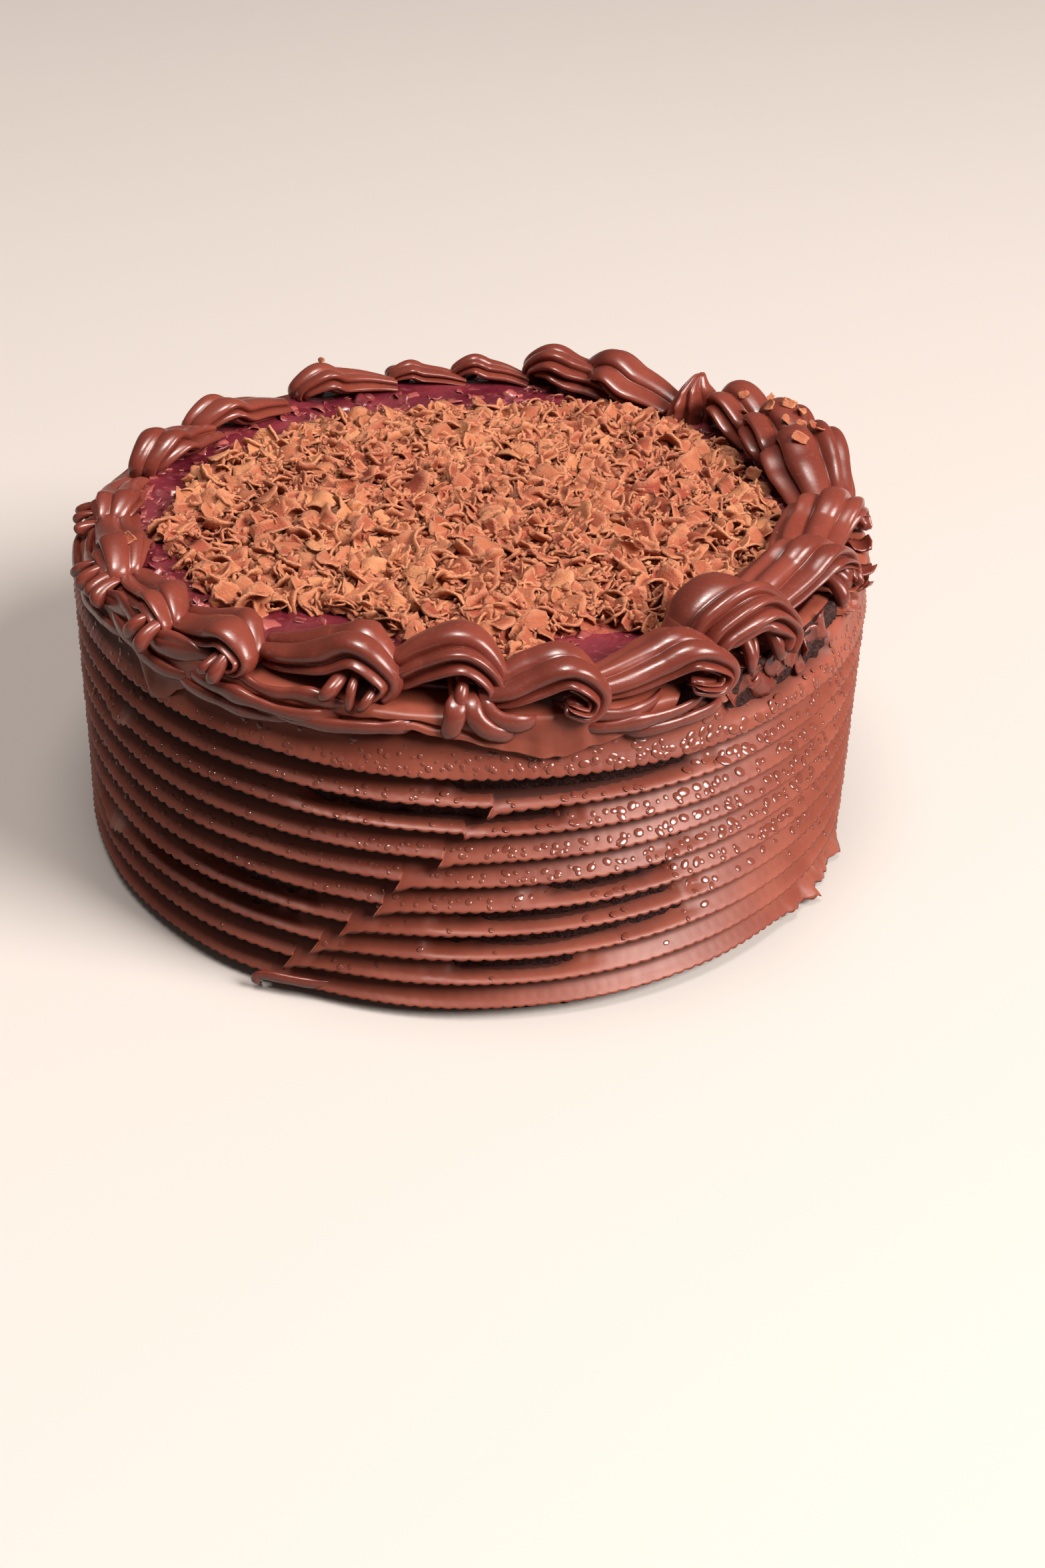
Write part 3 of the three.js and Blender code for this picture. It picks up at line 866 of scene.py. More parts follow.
SHELL_RING_SHIFT = (2.2, -0.5)
HEAD_REACH = 0.5
SHOULDER_BACK = 0.45
TAIL_OVERLAP = 4.0
DROP_STATIONS = ((0.97, 0.08), (0.72, 0.26), (0.36, 0.4), (0.0, 0.38))


def ring_radius(azimuth):
    """The ring of shells isn't centred on the cake: it was piped nearer to the right and the front."""
    return SHELL_RING_RADIUS + SHELL_RING_SHIFT[0] * np.cos(azimuth) + SHELL_RING_SHIFT[1] * np.sin(azimuth)


def head_stations(style):
    """The head as (along, up, outwards, radius): from the hanging start, out, and up to the crown."""
    lean = style["lean"]
    stations = [
        (0.25, 0.08, 0.24 + lean, 0.2),
        (0.36, 0.34, 0.14 + lean, 0.27),
        (0.02, 0.62 * style["crown"], 0.3 * lean, 0.39),
    ]
    if style["curl_in"]:
        stations.insert(0, (-0.08, 0.24, 0.28 + lean, 0.16))
    return stations


def shell_stations(height, length, style):
    """Stations of the whole rope in millimetres, from the head's start to the tail."""
    if style["upright"]:
        return np.array([(length / 2, up * height, 0.0, wide * height) for up, wide in DROP_STATIONS])
    ahead = max(HEAD_REACH * height, style["head_share"] * length)
    stretch = ahead / HEAD_REACH
    curl = length - ahead
    shoulder = curl - SHOULDER_BACK * height
    tail = style["tail"]
    head = [
        (curl + along * stretch, up * height, out * height, wide * height)
        for along, up, out, wide in head_stations(style)
    ]
    body = (
        (shoulder, 0.44, 0.0, 0.39),
        ((shoulder - TAIL_OVERLAP) / 2, 0.26 + 0.06 * style["full"], 0.04, 0.2 + 0.55 * tail),
        (-TAIL_OVERLAP, 0.6 * tail, 0.02, tail),
    )
    return np.array(head + [(along, *(share * height for share in shares)) for along, *shares in body])


def along_line(stations, share):
    """Points on the smooth Catmull-Rom curve through the stations."""
    last = len(stations) - 1
    place = np.clip(share, 0, 1) * last
    index = np.minimum(place.astype(int), last - 1)
    t = (place - index)[:, None]
    start = stations[index]
    end = stations[index + 1]
    leave = (end - stations[np.maximum(index - 1, 0)]) / 2
    arrive = (stations[np.minimum(index + 2, last)] - start) / 2
    cubic = 3 * t ** 2 - 2 * t ** 3
    return start + (end - start) * cubic + leave * (t ** 3 - 2 * t ** 2 + t) + arrive * (t ** 3 - t ** 2)


print(f"{len(SHELLS)} shells")

# %% [markdown]
# ## Strand ends
# Under a crown the tip's strands hang out over the rim in blunt fingers. All strands of icing start as the
# same plain tube: `create_cone` makes it with one long face from end to end, and `subdivide_edges` cuts
# that into rings so that it can bend. A curve with a round bevel would be quicker, but its section is the
# same everywhere, and here every vertex can move by its place along the tube and round it.

# %% Strand ends
FINGER_POINTS = 14
FINGER_RINGS = 15
FINGER_THICK = (1.3, 2.5)
FINGER_TAPER = (0.2, 0.5)
FINGER_BLUNT = 6
FINGER_END = 0.03
FINGER_SWAY = 0.045
FINGER_START = (0.3, 0.5)
FINGER_FALL = (-0.2, 2.2)
FINGER_REACH = (5.0, 7.8)
FINGER_CURVE = (1.3, 2.2)
FINGER_OUT = 2.4
FINGER_WIDTHS = (0.9, 0.5)
WIDE_REACH = 3.0
SHELL_SPREAD = (1.35, 1.85)


def add_tube(bm, points, rings):
    """Adds a tube of radius and length 1, and gives its vertices, their x and y and place along it."""
    first = len(bm.verts)
    tube = bmesh.ops.create_cone(bm, cap_ends=True, segments=points, radius1=1, radius2=1, depth=1)
    edges = dict.fromkeys(edge for vert in tube["verts"] for edge in vert.link_edges)
    upright = [edge for edge in edges if abs(edge.verts[0].co.z - edge.verts[1].co.z) > 0.5]
    bmesh.ops.subdivide_edges(bm, edges=upright, cuts=rings - 2, use_grid_fill=True)
    bm.verts.ensure_lookup_table()
    verts = bm.verts[first:]
    x, y, z = np.array([vert.co for vert in verts]).T
    return verts, x, y, z + 0.5


def blunt(place, power, least):
    """1 along most of a strand and a rounded end where the place nears 1."""
    return np.sqrt(np.clip(1 - place ** power, least, 1))


def add_finger(bm, azimuth, height, style):
    """One strand end that hangs from under the crown out over the rim."""
    draw = style["draw"]
    shift = style["shift"] + WIDE_REACH * (style["spread"] - SHELL_SPREAD[0]) + FINGER_OUT
    verts, x, y, share = add_tube(bm, FINGER_POINTS, FINGER_RINGS)
    thick = draw.uniform(*FINGER_THICK) * blunt(share, FINGER_BLUNT, FINGER_END)
    thick = thick * (1 - draw.uniform(*FINGER_TAPER) * (1 - share))
    sway = draw.uniform(-FINGER_SWAY, FINGER_SWAY)
    start = draw.uniform(*FINGER_START) * height
    fall = start + draw.uniform(*FINGER_FALL)
    out = ring_radius(azimuth) + shift + draw.uniform(*FINGER_REACH) * np.sin(share * math.pi / 2)
    up = start - fall * share ** draw.uniform(*FINGER_CURVE)
    turn = azimuth + sway * share ** 1.5
    points = on_ring(turn + thick * y / out, out + thick * x * FINGER_WIDTHS[0], 0)
    points[:, 2] = top_level(points[:, 1]) + up + thick * x * FINGER_WIDTHS[1]
    move_to(verts, points)


print("strand ends ready")

# %% [markdown]
# ## Bending a rope
# The star tip leaves rounded strands along a shell, with sharp creases between them. A tube is bent along
# the shell's curve, and the creases are cut into its radius by a cosine of the angle round it, which turns
# slowly along the rope as the bag does in the hand. Where the rope would sink into the cake it is held
# up at the icing, and past the rim it may droop. Each shell's surface is kept, to rest loose flakes on.

# %% Shell rope
ROPE_POINTS = 126
ROPE_RINGS = 64
ROPE_STRIDE = 0.01
ROPE_SKEW = 0.25
SKEW_TURN = 9
CREASE_DEPTH = 0.45
CREASE_EXTRA = (0.05, 0.3)
CREASE_SHARPNESS = 0.7
ROPE_WOBBLE = ((0.1, 5, 2),)
WOBBLE_STRETCH = (30, 6)
INNER_SQUASH = 0.72
TIP_SHARE = 0.05
TIP_END = 0.02
TIP_STRANDS = (0.05, 0.14)
REST_SINK = 0.3
RIM_DROOP = (96.5, 0.35)
FINGER_TURN = math.radians(2.1)
FINGER_LEAD = 0.4
FINGER_JITTER = 0.3
shell_surfaces = []


def rope_section(stations, x, y, share, style):
    """For each vertex the middle line and its direction, the angle round the rope and the reach from it."""
    around = np.arctan2(y, x)
    skewed = around + ROPE_SKEW * np.sin(2 * around + style["phase"] * SKEW_TURN)
    strand = np.abs(np.cos(style["lobes"] * skewed / 2))
    tip = np.sqrt(np.clip(1 - (1 - share / TIP_SHARE) ** 2 * (share < TIP_SHARE), TIP_END, 1))
    share = share + TIP_STRANDS[0] * (1 - strand ** 2) * np.maximum(1 - share / TIP_STRANDS[1], 0)
    going = along_line(stations, share + ROPE_STRIDE) - along_line(stations, share - ROPE_STRIDE)
    going /= np.hypot(going[:, 0], going[:, 1])[:, None]
    crease = CREASE_DEPTH + CREASE_EXTRA[0] * np.maximum(1 - share / CREASE_EXTRA[1], 0)
    angle = around + style["phase"] + style["twist"] * share
    spread_out = (share * WOBBLE_STRETCH[0], angle * WOBBLE_STRETCH[1], 0 * share + style["start"])
    middle = along_line(stations, share)
    reach = middle[:, 3] * (1 - crease * (1 - strand ** CREASE_SHARPNESS)) * tip
    return share, middle, going, angle, reach * (1 + bumps(np.stack(spread_out, axis=1), ROPE_WOBBLE))


def pipe_shell(number, tail, head, height, style):
    length = math.radians(head - tail) * SHELL_RING_RADIUS
    bm = bmesh.new()
    verts, x, y, share = add_tube(bm, ROPE_POINTS, ROPE_RINGS)
    stations = shell_stations(height, length, style)
    share, middle, going, angle, reach = rope_section(stations, x, y, share, style)
    outward = reach * np.cos(angle)
    outward = np.where(outward < 0, outward * INNER_SQUASH, outward)
    azimuth = math.radians(tail) + (middle[:, 0] + going[:, 1] * outward) / SHELL_RING_RADIUS
    sway = style["sway"] * np.sin(2 * math.pi * share)
    shift = style["shift"] + style["slant"] * (1 - 2 * share)
    spread = np.where(np.sin(angle) > 0, style["spread"], SHELL_SPREAD[1])
    radius = ring_radius(azimuth) + middle[:, 2] + shift + sway + reach * np.sin(angle) * spread
    droop = RIM_DROOP[1] * np.maximum(radius - RIM_DROOP[0], 0) + rim_fall(np.degrees(azimuth), radius)
    points = on_ring(azimuth, radius, np.maximum(middle[:, 1] - going[:, 0] * outward, -REST_SINK - droop))
    points[:, 2] += top_level(points[:, 1])
    move_to(verts, points)
    centre = math.radians(tail) + (length - HEAD_REACH * height) / SHELL_RING_RADIUS
    for finger in range(style["fingers"]):
        jitter = style["draw"].uniform(-FINGER_JITTER, FINGER_JITTER)
        place = finger - FINGER_LEAD * style["fingers"] + jitter
        add_finger(bm, centre + place * FINGER_TURN, height, style)
    shell_surfaces.append(BVHTree.FromBMesh(bm))
    finish_piece(bm, f"shell_rope_{number:02d}", piped_icing, f"piped_shell_{number:02d}")


print(f"ropes of {ROPE_POINTS} by {ROPE_RINGS} points")

# %% [markdown]
# ## The border
# No two squeezes are alike, so each shell draws its own lean, crown and twist from a seeded generator.
# Large shells show more strands than small ones, the two long ropes at the right have the most, and four
# shells at the left were pressed flat and wide. Shells are numbered from 1, as their solids are.

# %% Border of shells
ROPE_LOBES = (5, 6, 8)
LOBE_HEIGHTS = (12.0, 16.5)
SHELL_SLANT = (1.5, 6.0)
TAIL_SIZES = (0.26, 0.3)
HEAD_SHARE = (0.33, 0.03)
UPRIGHT_SHELL = 4
LONG_ROPES = (21, 22)
WIDE_SHELLS = (12, 13, 14, 15)
WIDE_SPREAD = 2.1

draw = random.Random(11)
for number, (tail, head, height, shift, fingers) in enumerate(SHELLS, start=1):
    back = max(math.sin(math.radians(tail)), 0) ** 0.5
    long_rope = number in LONG_ROPES
    style = {
        "curl_in": fingers < 3 and not long_rope,
        "lean": draw.uniform(-0.02, 0.1),
        "crown": draw.uniform(0.94, 1.06),
        "phase": draw.uniform(0.3, 0.75),
        "twist": draw.uniform(0.1, 0.9),
        "sway": draw.uniform(-1.0, 1.0),
        "tail": TAIL_SIZES[long_rope],
        "head_share": HEAD_SHARE[0] + HEAD_SHARE[1] * back,
        "full": back,
        "start": tail,
        "shift": shift,
        "slant": SHELL_SLANT[long_rope],
        "lobes": ROPE_LOBES[2 if long_rope else sum(height > limit for limit in LOBE_HEIGHTS)],
        "upright": number == UPRIGHT_SHELL,
        "spread": WIDE_SPREAD if number in WIDE_SHELLS else SHELL_SPREAD[0],
        "fingers": fingers,
        "draw": draw,
    }
    pipe_shell(number, tail, head, height, style)

# %% [markdown]
# ## Chocolate shavings
# A grated bar falls as thin curled flakes with torn edges. Modelling thousands of them one by one is out of
# reach, and a particle system would place instances that share one size. So a few dozen flakes are made,
# each a grid that is bent, torn at its edge and given thickness, and turned copies are joined later. A
# number named `edge` on each vertex says whether it lies on the torn edge.

# %% Flake shapes
FLAKE_KINDS = 36
LARGE_KINDS = 12
CRUMB_KINDS = 12
FLAKE_CELLS = (7, 4)
CRUMB_CELLS = (3, 2)
LARGE_GROWTH = 1.45
CRUMB_GROWTH = 0.34
FLAKE_THICKNESS = 0.5
FLAKE_LENGTH = (3.4, 9.0, 5.2)
FLAKE_WIDTH = (2.8, 6.0, 4.0)
FLAKE_BEND = (1.9, 6.0)
FLAKE_CORNER = (0.1, 0.45)
FLAKE_SLANT = 0.5
FLAKE_FRAY = (-0.18, 0.09)
FLAKE_LUMP = 0.12
FLAKE_CUP = 0.03


def flake_shape(draw, growth, cells=FLAKE_CELLS):
    """One flake round the origin: its vertices, its faces and which vertices lie on its edge."""
    length = growth * draw.triangular(*FLAKE_LENGTH)
    width = growth * draw.triangular(*FLAKE_WIDTH)
    bend = growth * draw.choice((-1, 1)) * draw.uniform(*FLAKE_BEND)
    corner = draw.uniform(*FLAKE_CORNER)
    slant = draw.uniform(-FLAKE_SLANT, FLAKE_SLANT)
    bm = bmesh.new()
    bmesh.ops.create_grid(bm, x_segments=cells[0], y_segments=cells[1], size=1)
    edge_layer = bm.verts.layers.float.new("edge")
    for vert in bm.verts:
        u, v, _ = vert.co
        torn = vert.is_boundary
        ragged = 1 + draw.uniform(*FLAKE_FRAY) * torn
        x = ragged * u * length / 2 * math.sqrt(1 - corner * v * v)
        y = ragged * v * width / 2 * math.sqrt(1 - corner * u * u)
        along = x * math.cos(slant) + y * math.sin(slant)
        across = y * math.cos(slant) - x * math.sin(slant)
        lift = draw.uniform(-FLAKE_LUMP, FLAKE_LUMP) + FLAKE_CUP * across * across
        angle = along / bend
        vert.co = ((bend - lift) * math.sin(angle), across, bend - (bend - lift) * math.cos(angle))
        vert[edge_layer] = float(torn)
    bmesh.ops.solidify(bm, geom=bm.faces, thickness=FLAKE_THICKNESS)
    bmesh.ops.recalc_face_normals(bm, faces=bm.faces)
    edges = np.array([vert[edge_layer] for vert in bm.verts])
    points, faces = mesh_arrays(bm)
    return points - points.mean(axis=0), faces, edges


def mesh_arrays(bm):
    """The points of a small shape and its faces, as arrays that can be copied many times."""
    bm.verts.index_update()
    points = np.array([vert.co for vert in bm.verts])
    faces = np.array([[vert.index for vert in face.verts] for face in bm.faces])
    bm.free()
    return points, faces


draw = random.Random(5)
small_flakes = [flake_shape(draw, 1.0) for _ in range(FLAKE_KINDS)]
large_flakes = [flake_shape(draw, LARGE_GROWTH) for _ in range(LARGE_KINDS)]
crumbs = [flake_shape(draw, CRUMB_GROWTH, CRUMB_CELLS) for _ in range(CRUMB_KINDS)]
print(f"{len(small_flakes)} small and {len(large_flakes)} large flakes of {len(small_flakes[0][1])} faces")

# %% [markdown]
# ## Shavings finish
# Milk chocolate is matt where it was grated, warm brown in the middle of a flake and paler along torn
# edges. A texture per flake would be a lot of painting. Instead each flake carries a number named `tone`,
# drawn at random, which blends a dark brown into a light one, and `edge` adds the pale rim.

# %% Shavings finish


def shavings_finish():
    finish = Finish("chocolate_shavings", {"Specular IOR Level": 0.25})
    tone = finish.number("tone")
    plain = finish.blend(tone, shade(148, 58, 38), shade(192, 119, 80))
    golden = finish.blend(finish.step(tone, 0.7, 1.0) * 0.35, plain, shade(214, 150, 102))
    torn = finish.blend(finish.number("edge") * 0.5, golden, shade(216, 150, 112))
    clouds = finish.grain(500, 3)
    finish.feed("Base Color", finish.blend(finish.step(clouds, 0.4, 0.75) * 0.3, torn, shade(156, 78, 58)))
    finish.feed("Roughness", 0.55 + 0.25 * clouds)
    finish.bump(finish.grain(1400, 3, stretch=(1, 2.5, 1)), 0.4 * MM)
    return finish


shavings = shavings_finish()
print("shavings finish ready")

# %% [markdown]
# ## Scattering and joining
# A flake falls on a spot, leans one way and faces anywhere. A physics simulation would settle the flakes
# truly, but it is slow and never the same twice. Seeded draws give a spot, a turn and a tone for each
# flake, and the turned copies are joined into one mesh, which renders and exports faster than thousands
# of objects. Patches of the heap are paler than others, as flakes from one stroke of the grater are.

# %% Joined flakes
TONE_PATCHES = ((0.35, 22.0, 7),)
TONE_LEAST = 0.15
TONE_SPREAD = 0.7
FRONT_EDGE = -15.0
FRONT_LARGE = 1.8
CRUMB_SCALE = (0.5, 1.3)


def flake_turn(draw, lean):
    lean_x, lean_y = (draw.uniform(-lean, lean) for _ in "xy")
    return turned((draw.uniform(0, 2 * math.pi), "Z"), (lean_x, "X"), (lean_y, "Y"))


def joined_flakes(name, flakes, finish, node):
    """Joins turned copies of shapes, each given as (shape, turn, spot in millimetres, tone)."""
    points, faces, tones, edges = [], [], [], []
    start = 0
    for (corners, polygons, torn), turn, spot, tone in flakes:
        points.append((corners @ np.array(turn).T + spot) * MM)
        faces.append(polygons + start)
        tones.append(np.full(len(corners), tone))
        edges.append(torn)
        start += len(corners)
    mesh = bpy.data.meshes.new(name)
    mesh.from_pydata(np.concatenate(points).tolist(), [], np.concatenate(faces).tolist())
    for label, values in (("tone", tones), ("edge", edges)):
        layer = mesh.attributes.new(label, "FLOAT", "POINT")
        layer.data.foreach_set("value", np.concatenate(values).astype(np.float32))
    place_piece(mesh, name, finish, node)


def fallen(draw, spots, lean, large_share, scale, shade_shift=0.0):
    """A flake for each spot, turned as it happened to fall. More of the large ones lie at the front."""
    spots = np.array(list(spots))
    patches = TONE_LEAST + shade_shift + bumps(spots, TONE_PATCHES)
    for spot, patch in zip(spots, patches):
        large_here = large_share * (FRONT_LARGE if spot[1] < FRONT_EDGE else 1)
        kinds = large_flakes if draw.random() < large_here else small_flakes
        tone = min(max(TONE_SPREAD * draw.random() + patch, 0), 1)
        yield draw.choice(kinds), flake_turn(draw, lean) * draw.uniform(*scale), spot, tone


def fallen_crumbs(draw, spots):
    for spot in spots:
        crumb = draw.choice(crumbs)
        turn = flake_turn(draw, math.pi) * draw.uniform(*CRUMB_SCALE)
        yield crumb, turn, spot, draw.random()


print("scattering helpers ready")

# %% [markdown]
# ## The heap of shavings
# The flakes lie in a low dome that almost fills the ring of shells, with bays in its outline where glaze
# shows. A table of azimuths and radii draws that outline. The heap is laid in three layers: the lowest is
# painted darkest, as shade where little light gets there, and the top one has the most large flakes and
# a slightly paler tone. Each layer is given by its name, its share of large flakes, how high it lies over
# the core and how far its tone is shifted.

# %% Heap of shavings
HEAP_CENTRE = (7.0, -3.5)
HEAP_RADIUS = 66.0
HEAP_HEIGHT = 3.6
HEAP_LUMPS = ((0.3, 14, 4),)
HEAP_LEAST = 0.85
HEAP_EDGE = np.array((
    (0, 76), (22, 76), (45, 79), (60, 78), (72, 70), (88, 61), (112, 60), (128, 66), (146, 66), (158, 68),
    (166, 72), (184, 75), (189, 79), (200, 77), (211, 77), (226, 78), (234, 68), (243, 63), (256, 69),
    (276, 77), (290, 65), (296, 65), (306, 77), (331, 78), (342, 77), (360, 76),
))
GLAZE_MARGIN = 4.0
FLAKE_COUNT = 1050
CRUMB_COUNT = 4000
CRUMB_LIFT = (0.6, 2.6)
HEAP_SCALE = (0.6, 1.3)
HEAP_LEAN = 0.95
# The tone shift is painted shade: darkest in the lowest layer, slightly paler on top.
HEAP_LAYERS = (
    ("lower", 0.1, (0.0, 0.8), -0.3),
    ("middle", 0.15, (0.6, 1.6), -0.05),
    ("upper", 0.25, (1.2, 2.4), 0.08),
)


def heap_level(x, y):
    """Height of the heap's core over the glaze."""
    away = np.hypot(x - HEAP_CENTRE[0], y - HEAP_CENTRE[1]) / HEAP_RADIUS
    dome = HEAP_HEIGHT * np.sqrt(np.maximum(1 - away * away, 0))
    return dome * (HEAP_LEAST + bumps(np.stack((x, y, 0 * x), axis=1), HEAP_LUMPS))


def spots_between(draw, count, inner, outer):
    """Random spots on the glaze between two shares of the heap's edge."""
    degrees = np.array([draw.uniform(0, 360) for _ in range(count)])
    share = np.sqrt([draw.uniform(inner ** 2, outer ** 2) for _ in range(count)])
    edge = np.interp(degrees, HEAP_EDGE[:, 0], HEAP_EDGE[:, 1])
    spots = on_ring(np.radians(degrees), np.minimum(share * edge, GLAZE_RADIUS - GLAZE_MARGIN), 0)
    spots[:, 2] = glaze_level(spots[:, 1])
    return spots


def heap_spots(draw, count, lift):
    """Random spots on the heap, raised off its core by an amount between two heights."""
    spots = spots_between(draw, count, 0, 1)
    raised = np.array([draw.uniform(*lift) for _ in range(count)])
    spots[:, 2] += heap_level(spots[:, 0], spots[:, 1]) + raised
    return spots


draw = random.Random(21)
for layer, large_share, lift, shade_shift in HEAP_LAYERS:
    spots = heap_spots(draw, FLAKE_COUNT, lift)
    flakes = list(fallen(draw, spots, HEAP_LEAN, large_share, HEAP_SCALE, shade_shift))
    joined_flakes(f"shavings_{layer}", flakes, shavings, "chocolate_shavings")
small_bits = list(fallen_crumbs(draw, heap_spots(draw, CRUMB_COUNT, CRUMB_LIFT)))
joined_flakes("shavings_crumbs", small_bits, shavings, "chocolate_shavings")

# %% [markdown]
# ## Strays
# Round the heap single flakes lie in the glaze, which has soaked them pink and wet, and a few landed on
# the shells. Both use the shapes of the heap's flakes and lie flatter, and the soaked ones have a finish
# of their own.
# A stray on a shell could be placed by eye. A ray sent straight down finds the shell's surface instead,
# so that the stray stays on it when the shell is changed.

# %% Stray flakes
SUNKEN_COUNT = 540
SUNKEN_BAND = (0.84, 1.3)
SUNKEN_LEAN = 0.5
SUNKEN_LARGE = 0.1
SUNKEN_SCALE = (0.3, 0.85)
STRAY_LIFT = 0.6
STRAY_LEAN = 0.8
STRAY_SCALE = (0.35, 0.75)
SHELL_STRAYS = (
    (-40, 82), (15, 90), (18, 88), (21, 86), (22, 91), (24, 89), (26, 85), (29, 88), (33, 86), (36, 88),
    (12, 84), (203, 88), (120, 87), (258, 82), (282, 82),
)


def soaked_finish():
    finish = Finish("soaked_flakes", {"Specular IOR Level": 0.6})
    finish.feed("Base Color", finish.blend(finish.number("tone"), shade(112, 38, 42), shade(172, 86, 78)))
    finish.feed("Roughness", 0.22 + 0.2 * finish.grain(300, 2))
    return finish


def stray_spots():
    """The point on a shell below each stray, found by looking straight down."""
    for degrees, radius in SHELL_STRAYS:
        high = on_ring(math.radians(degrees), radius, 2 * TOP_HEIGHT)
        rays = [surface.ray_cast(Vector(high) * MM, Vector((0, 0, -1))) for surface in shell_surfaces]
        tops = [hit.z / MM for hit, *_ in rays if hit]
        if tops:
            yield np.array((high[0], high[1], max(tops) + STRAY_LIFT))


draw = random.Random(34)
sunken_spots = spots_between(draw, SUNKEN_COUNT, *SUNKEN_BAND)
sunken = list(fallen(draw, sunken_spots, SUNKEN_LEAN, SUNKEN_LARGE, SUNKEN_SCALE))
joined_flakes("soaked_flakes", sunken, soaked_finish(), "chocolate_shavings")
strays = list(fallen(draw, stray_spots(), STRAY_LEAN, 0, STRAY_SCALE))
joined_flakes("stray_flakes", strays, shavings, "chocolate_shavings")

# %% [markdown]
# ## Ragged icing
# At the right the spatula left torn tags of icing on the rim, and flat smears of it stick to the bare
# sponge. They are thin, curled and torn like the flakes, so new flakes are made with the same function:
# tags stick out from the rim, smears are laid against the side, and both have the icing's finish. A smear
# is given by its azimuth and height.

# %% Ragged icing
TAG_AZIMUTHS = (-18, -5)
TAG_RADIUS = 96.0
TAG_HEIGHT = 80.0
TAG_COUNT = 5
TAG_GROWTH = 1.8
TAG_TIP = (-0.9, 0.5)
TAG_TURN = 0.5
TAG_SPREAD = 2.5
TAG_SCALE = (0.7, 1.1)
RIM_SMEARS = (
    (-54, 79), (-51, 77), (-48, 78.5), (-46, 75.5), (-44, 79.5), (-42, 77), (-40, 79), (-37, 76), (-35, 79),
    (-31, 80),
)
SMEAR_RADIUS = 95.0
SMEAR_GROWTH = 1.2
SMEAR_TIP = (1.1, 1.6)
ICING_TONE = 0.5


def tags(draw):
    """Flakes of icing on the rim, their length pointing outwards."""
    for _ in range(TAG_COUNT):
        azimuth = math.radians(draw.uniform(*TAG_AZIMUTHS))
        tip = draw.uniform(*TAG_TIP)
        turn = turned((azimuth + draw.uniform(-TAG_TURN, TAG_TURN), "Z"), (tip, "Y"))
        spot = on_ring(azimuth, TAG_RADIUS, TAG_HEIGHT + draw.uniform(-TAG_SPREAD, TAG_SPREAD))
        yield flake_shape(draw, TAG_GROWTH), turn * draw.uniform(*TAG_SCALE), spot, ICING_TONE


def smears(draw):
    """Flat flakes of icing stuck to the torn rim."""
    for degrees, height in RIM_SMEARS:
        azimuth = math.radians(degrees)
        tip = draw.uniform(*SMEAR_TIP)
        turn = turned((azimuth, "Z"), (tip, "Y"), (draw.uniform(0, 2 * math.pi), "Z"))
        yield flake_shape(draw, SMEAR_GROWTH), turn, on_ring(azimuth, SMEAR_RADIUS, height), ICING_TONE


draw = random.Random(55)
ragged = list(tags(draw)) + list(smears(draw))
joined_flakes("icing_rim_tags", ragged, piped_icing, "icing_coat")

# %% [markdown]
# ## Dragged strands
# Between the shells and the combed side, strands of icing were dragged along the rim. At the front three of
# them fan out below a shell, and one hook sticks out at the foot where the comb was lifted. Each is a
# tube along a curve through a few places, (azimuth, radius, height), with its section kept square to the
# curve so that a strand is as thick where it falls as where it runs level. Its ends sink into the icing.

# %% Dragged strands
RIM_STRANDS = (
    (2.7, ((-170, 95.0, 83.2), (-163, 96.6, 81.4), (-156, 95.6, 83.4), (-149, 97.0, 81.4),
           (-142, 95.8, 83.2), (-135, 97.2, 81.4), (-128, 96.0, 83.0), (-122, 97.0, 81.0))),
    (1.9, ((-160, 96.4, 84.4), (-152, 97.4, 82.6), (-146, 96.4, 84.2), (-139, 97.6, 82.4),
           (-132, 96.6, 84.0), (-125, 97.6, 82.0))),
    (2.1, ((-124, 96.0, 82.4), (-117, 97.2, 81.0), (-111, 96.6, 82.2), (-104, 97.4, 80.8))),
    (2.3, ((-91.5, 96.0, 87.0), (-91.8, 98.0, 83.0), (-92.3, 98.6, 79.4), (-92.0, 98.4, 76.8))),
    (2.2, ((-90.0, 96.0, 87.0), (-89.4, 98.0, 83.0), (-87.3, 98.8, 79.8), (-83.5, 98.2, 77.6))),
    (2.0, ((-88.4, 96.0, 87.0), (-87.2, 97.6, 83.4), (-84.8, 98.2, 81.6), (-80.5, 97.8, 81.0))),
    (1.9, ((-79, 95.5, 83.4), (-74, 97.2, 81.6), (-69, 97.8, 80.8), (-63, 96.4, 82.6))),
    (1.8, ((-176, 97.4, 78.6), (-169, 98.2, 77.2), (-160, 98.4, 77.0), (-152, 97.6, 78.2))),
    (1.6, ((-165, 98.0, 75.6), (-157, 98.6, 75.2), (-149, 98.4, 76.2), (-142, 97.6, 77.6))),
    (2.1, ((-150, 97.6, 79.6), (-143, 98.4, 78.6), (-136, 98.8, 76.6), (-129, 98.0, 76.4))),
    (1.7, ((-133, 98.2, 74.8), (-126, 98.7, 75.4), (-119, 98.5, 75.0), (-112, 97.6, 75.8))),
    (2.0, ((-131, 98.0, 77.5), (-122, 98.6, 78.6), (-113, 98.9, 78.2), (-106, 98.2, 79.6))),
    (1.8, ((-118, 98.2, 76.6), (-110, 98.9, 77.2), (-103, 99.1, 78.6), (-96, 98.3, 79.8))),
    (1.9, ((-76, 98.4, 78.6), (-70, 98.9, 78.8), (-63, 98.9, 79.6), (-57, 98.0, 80.6))),
    (1.8, ((-70, 98.4, 75.6), (-64, 98.9, 76.4), (-58, 98.7, 77.2), (-54, 97.4, 77.6))),
    (1.3, ((-108, 98.8, 4.4), (-114, 100.4, 5.0), (-118.2, 101.8, 4.4), (-118.6, 102.8, 0.6))),
)
STRAND_POINTS = 12
STRAND_RINGS = 62
STRAND_FLATNESS = 0.6
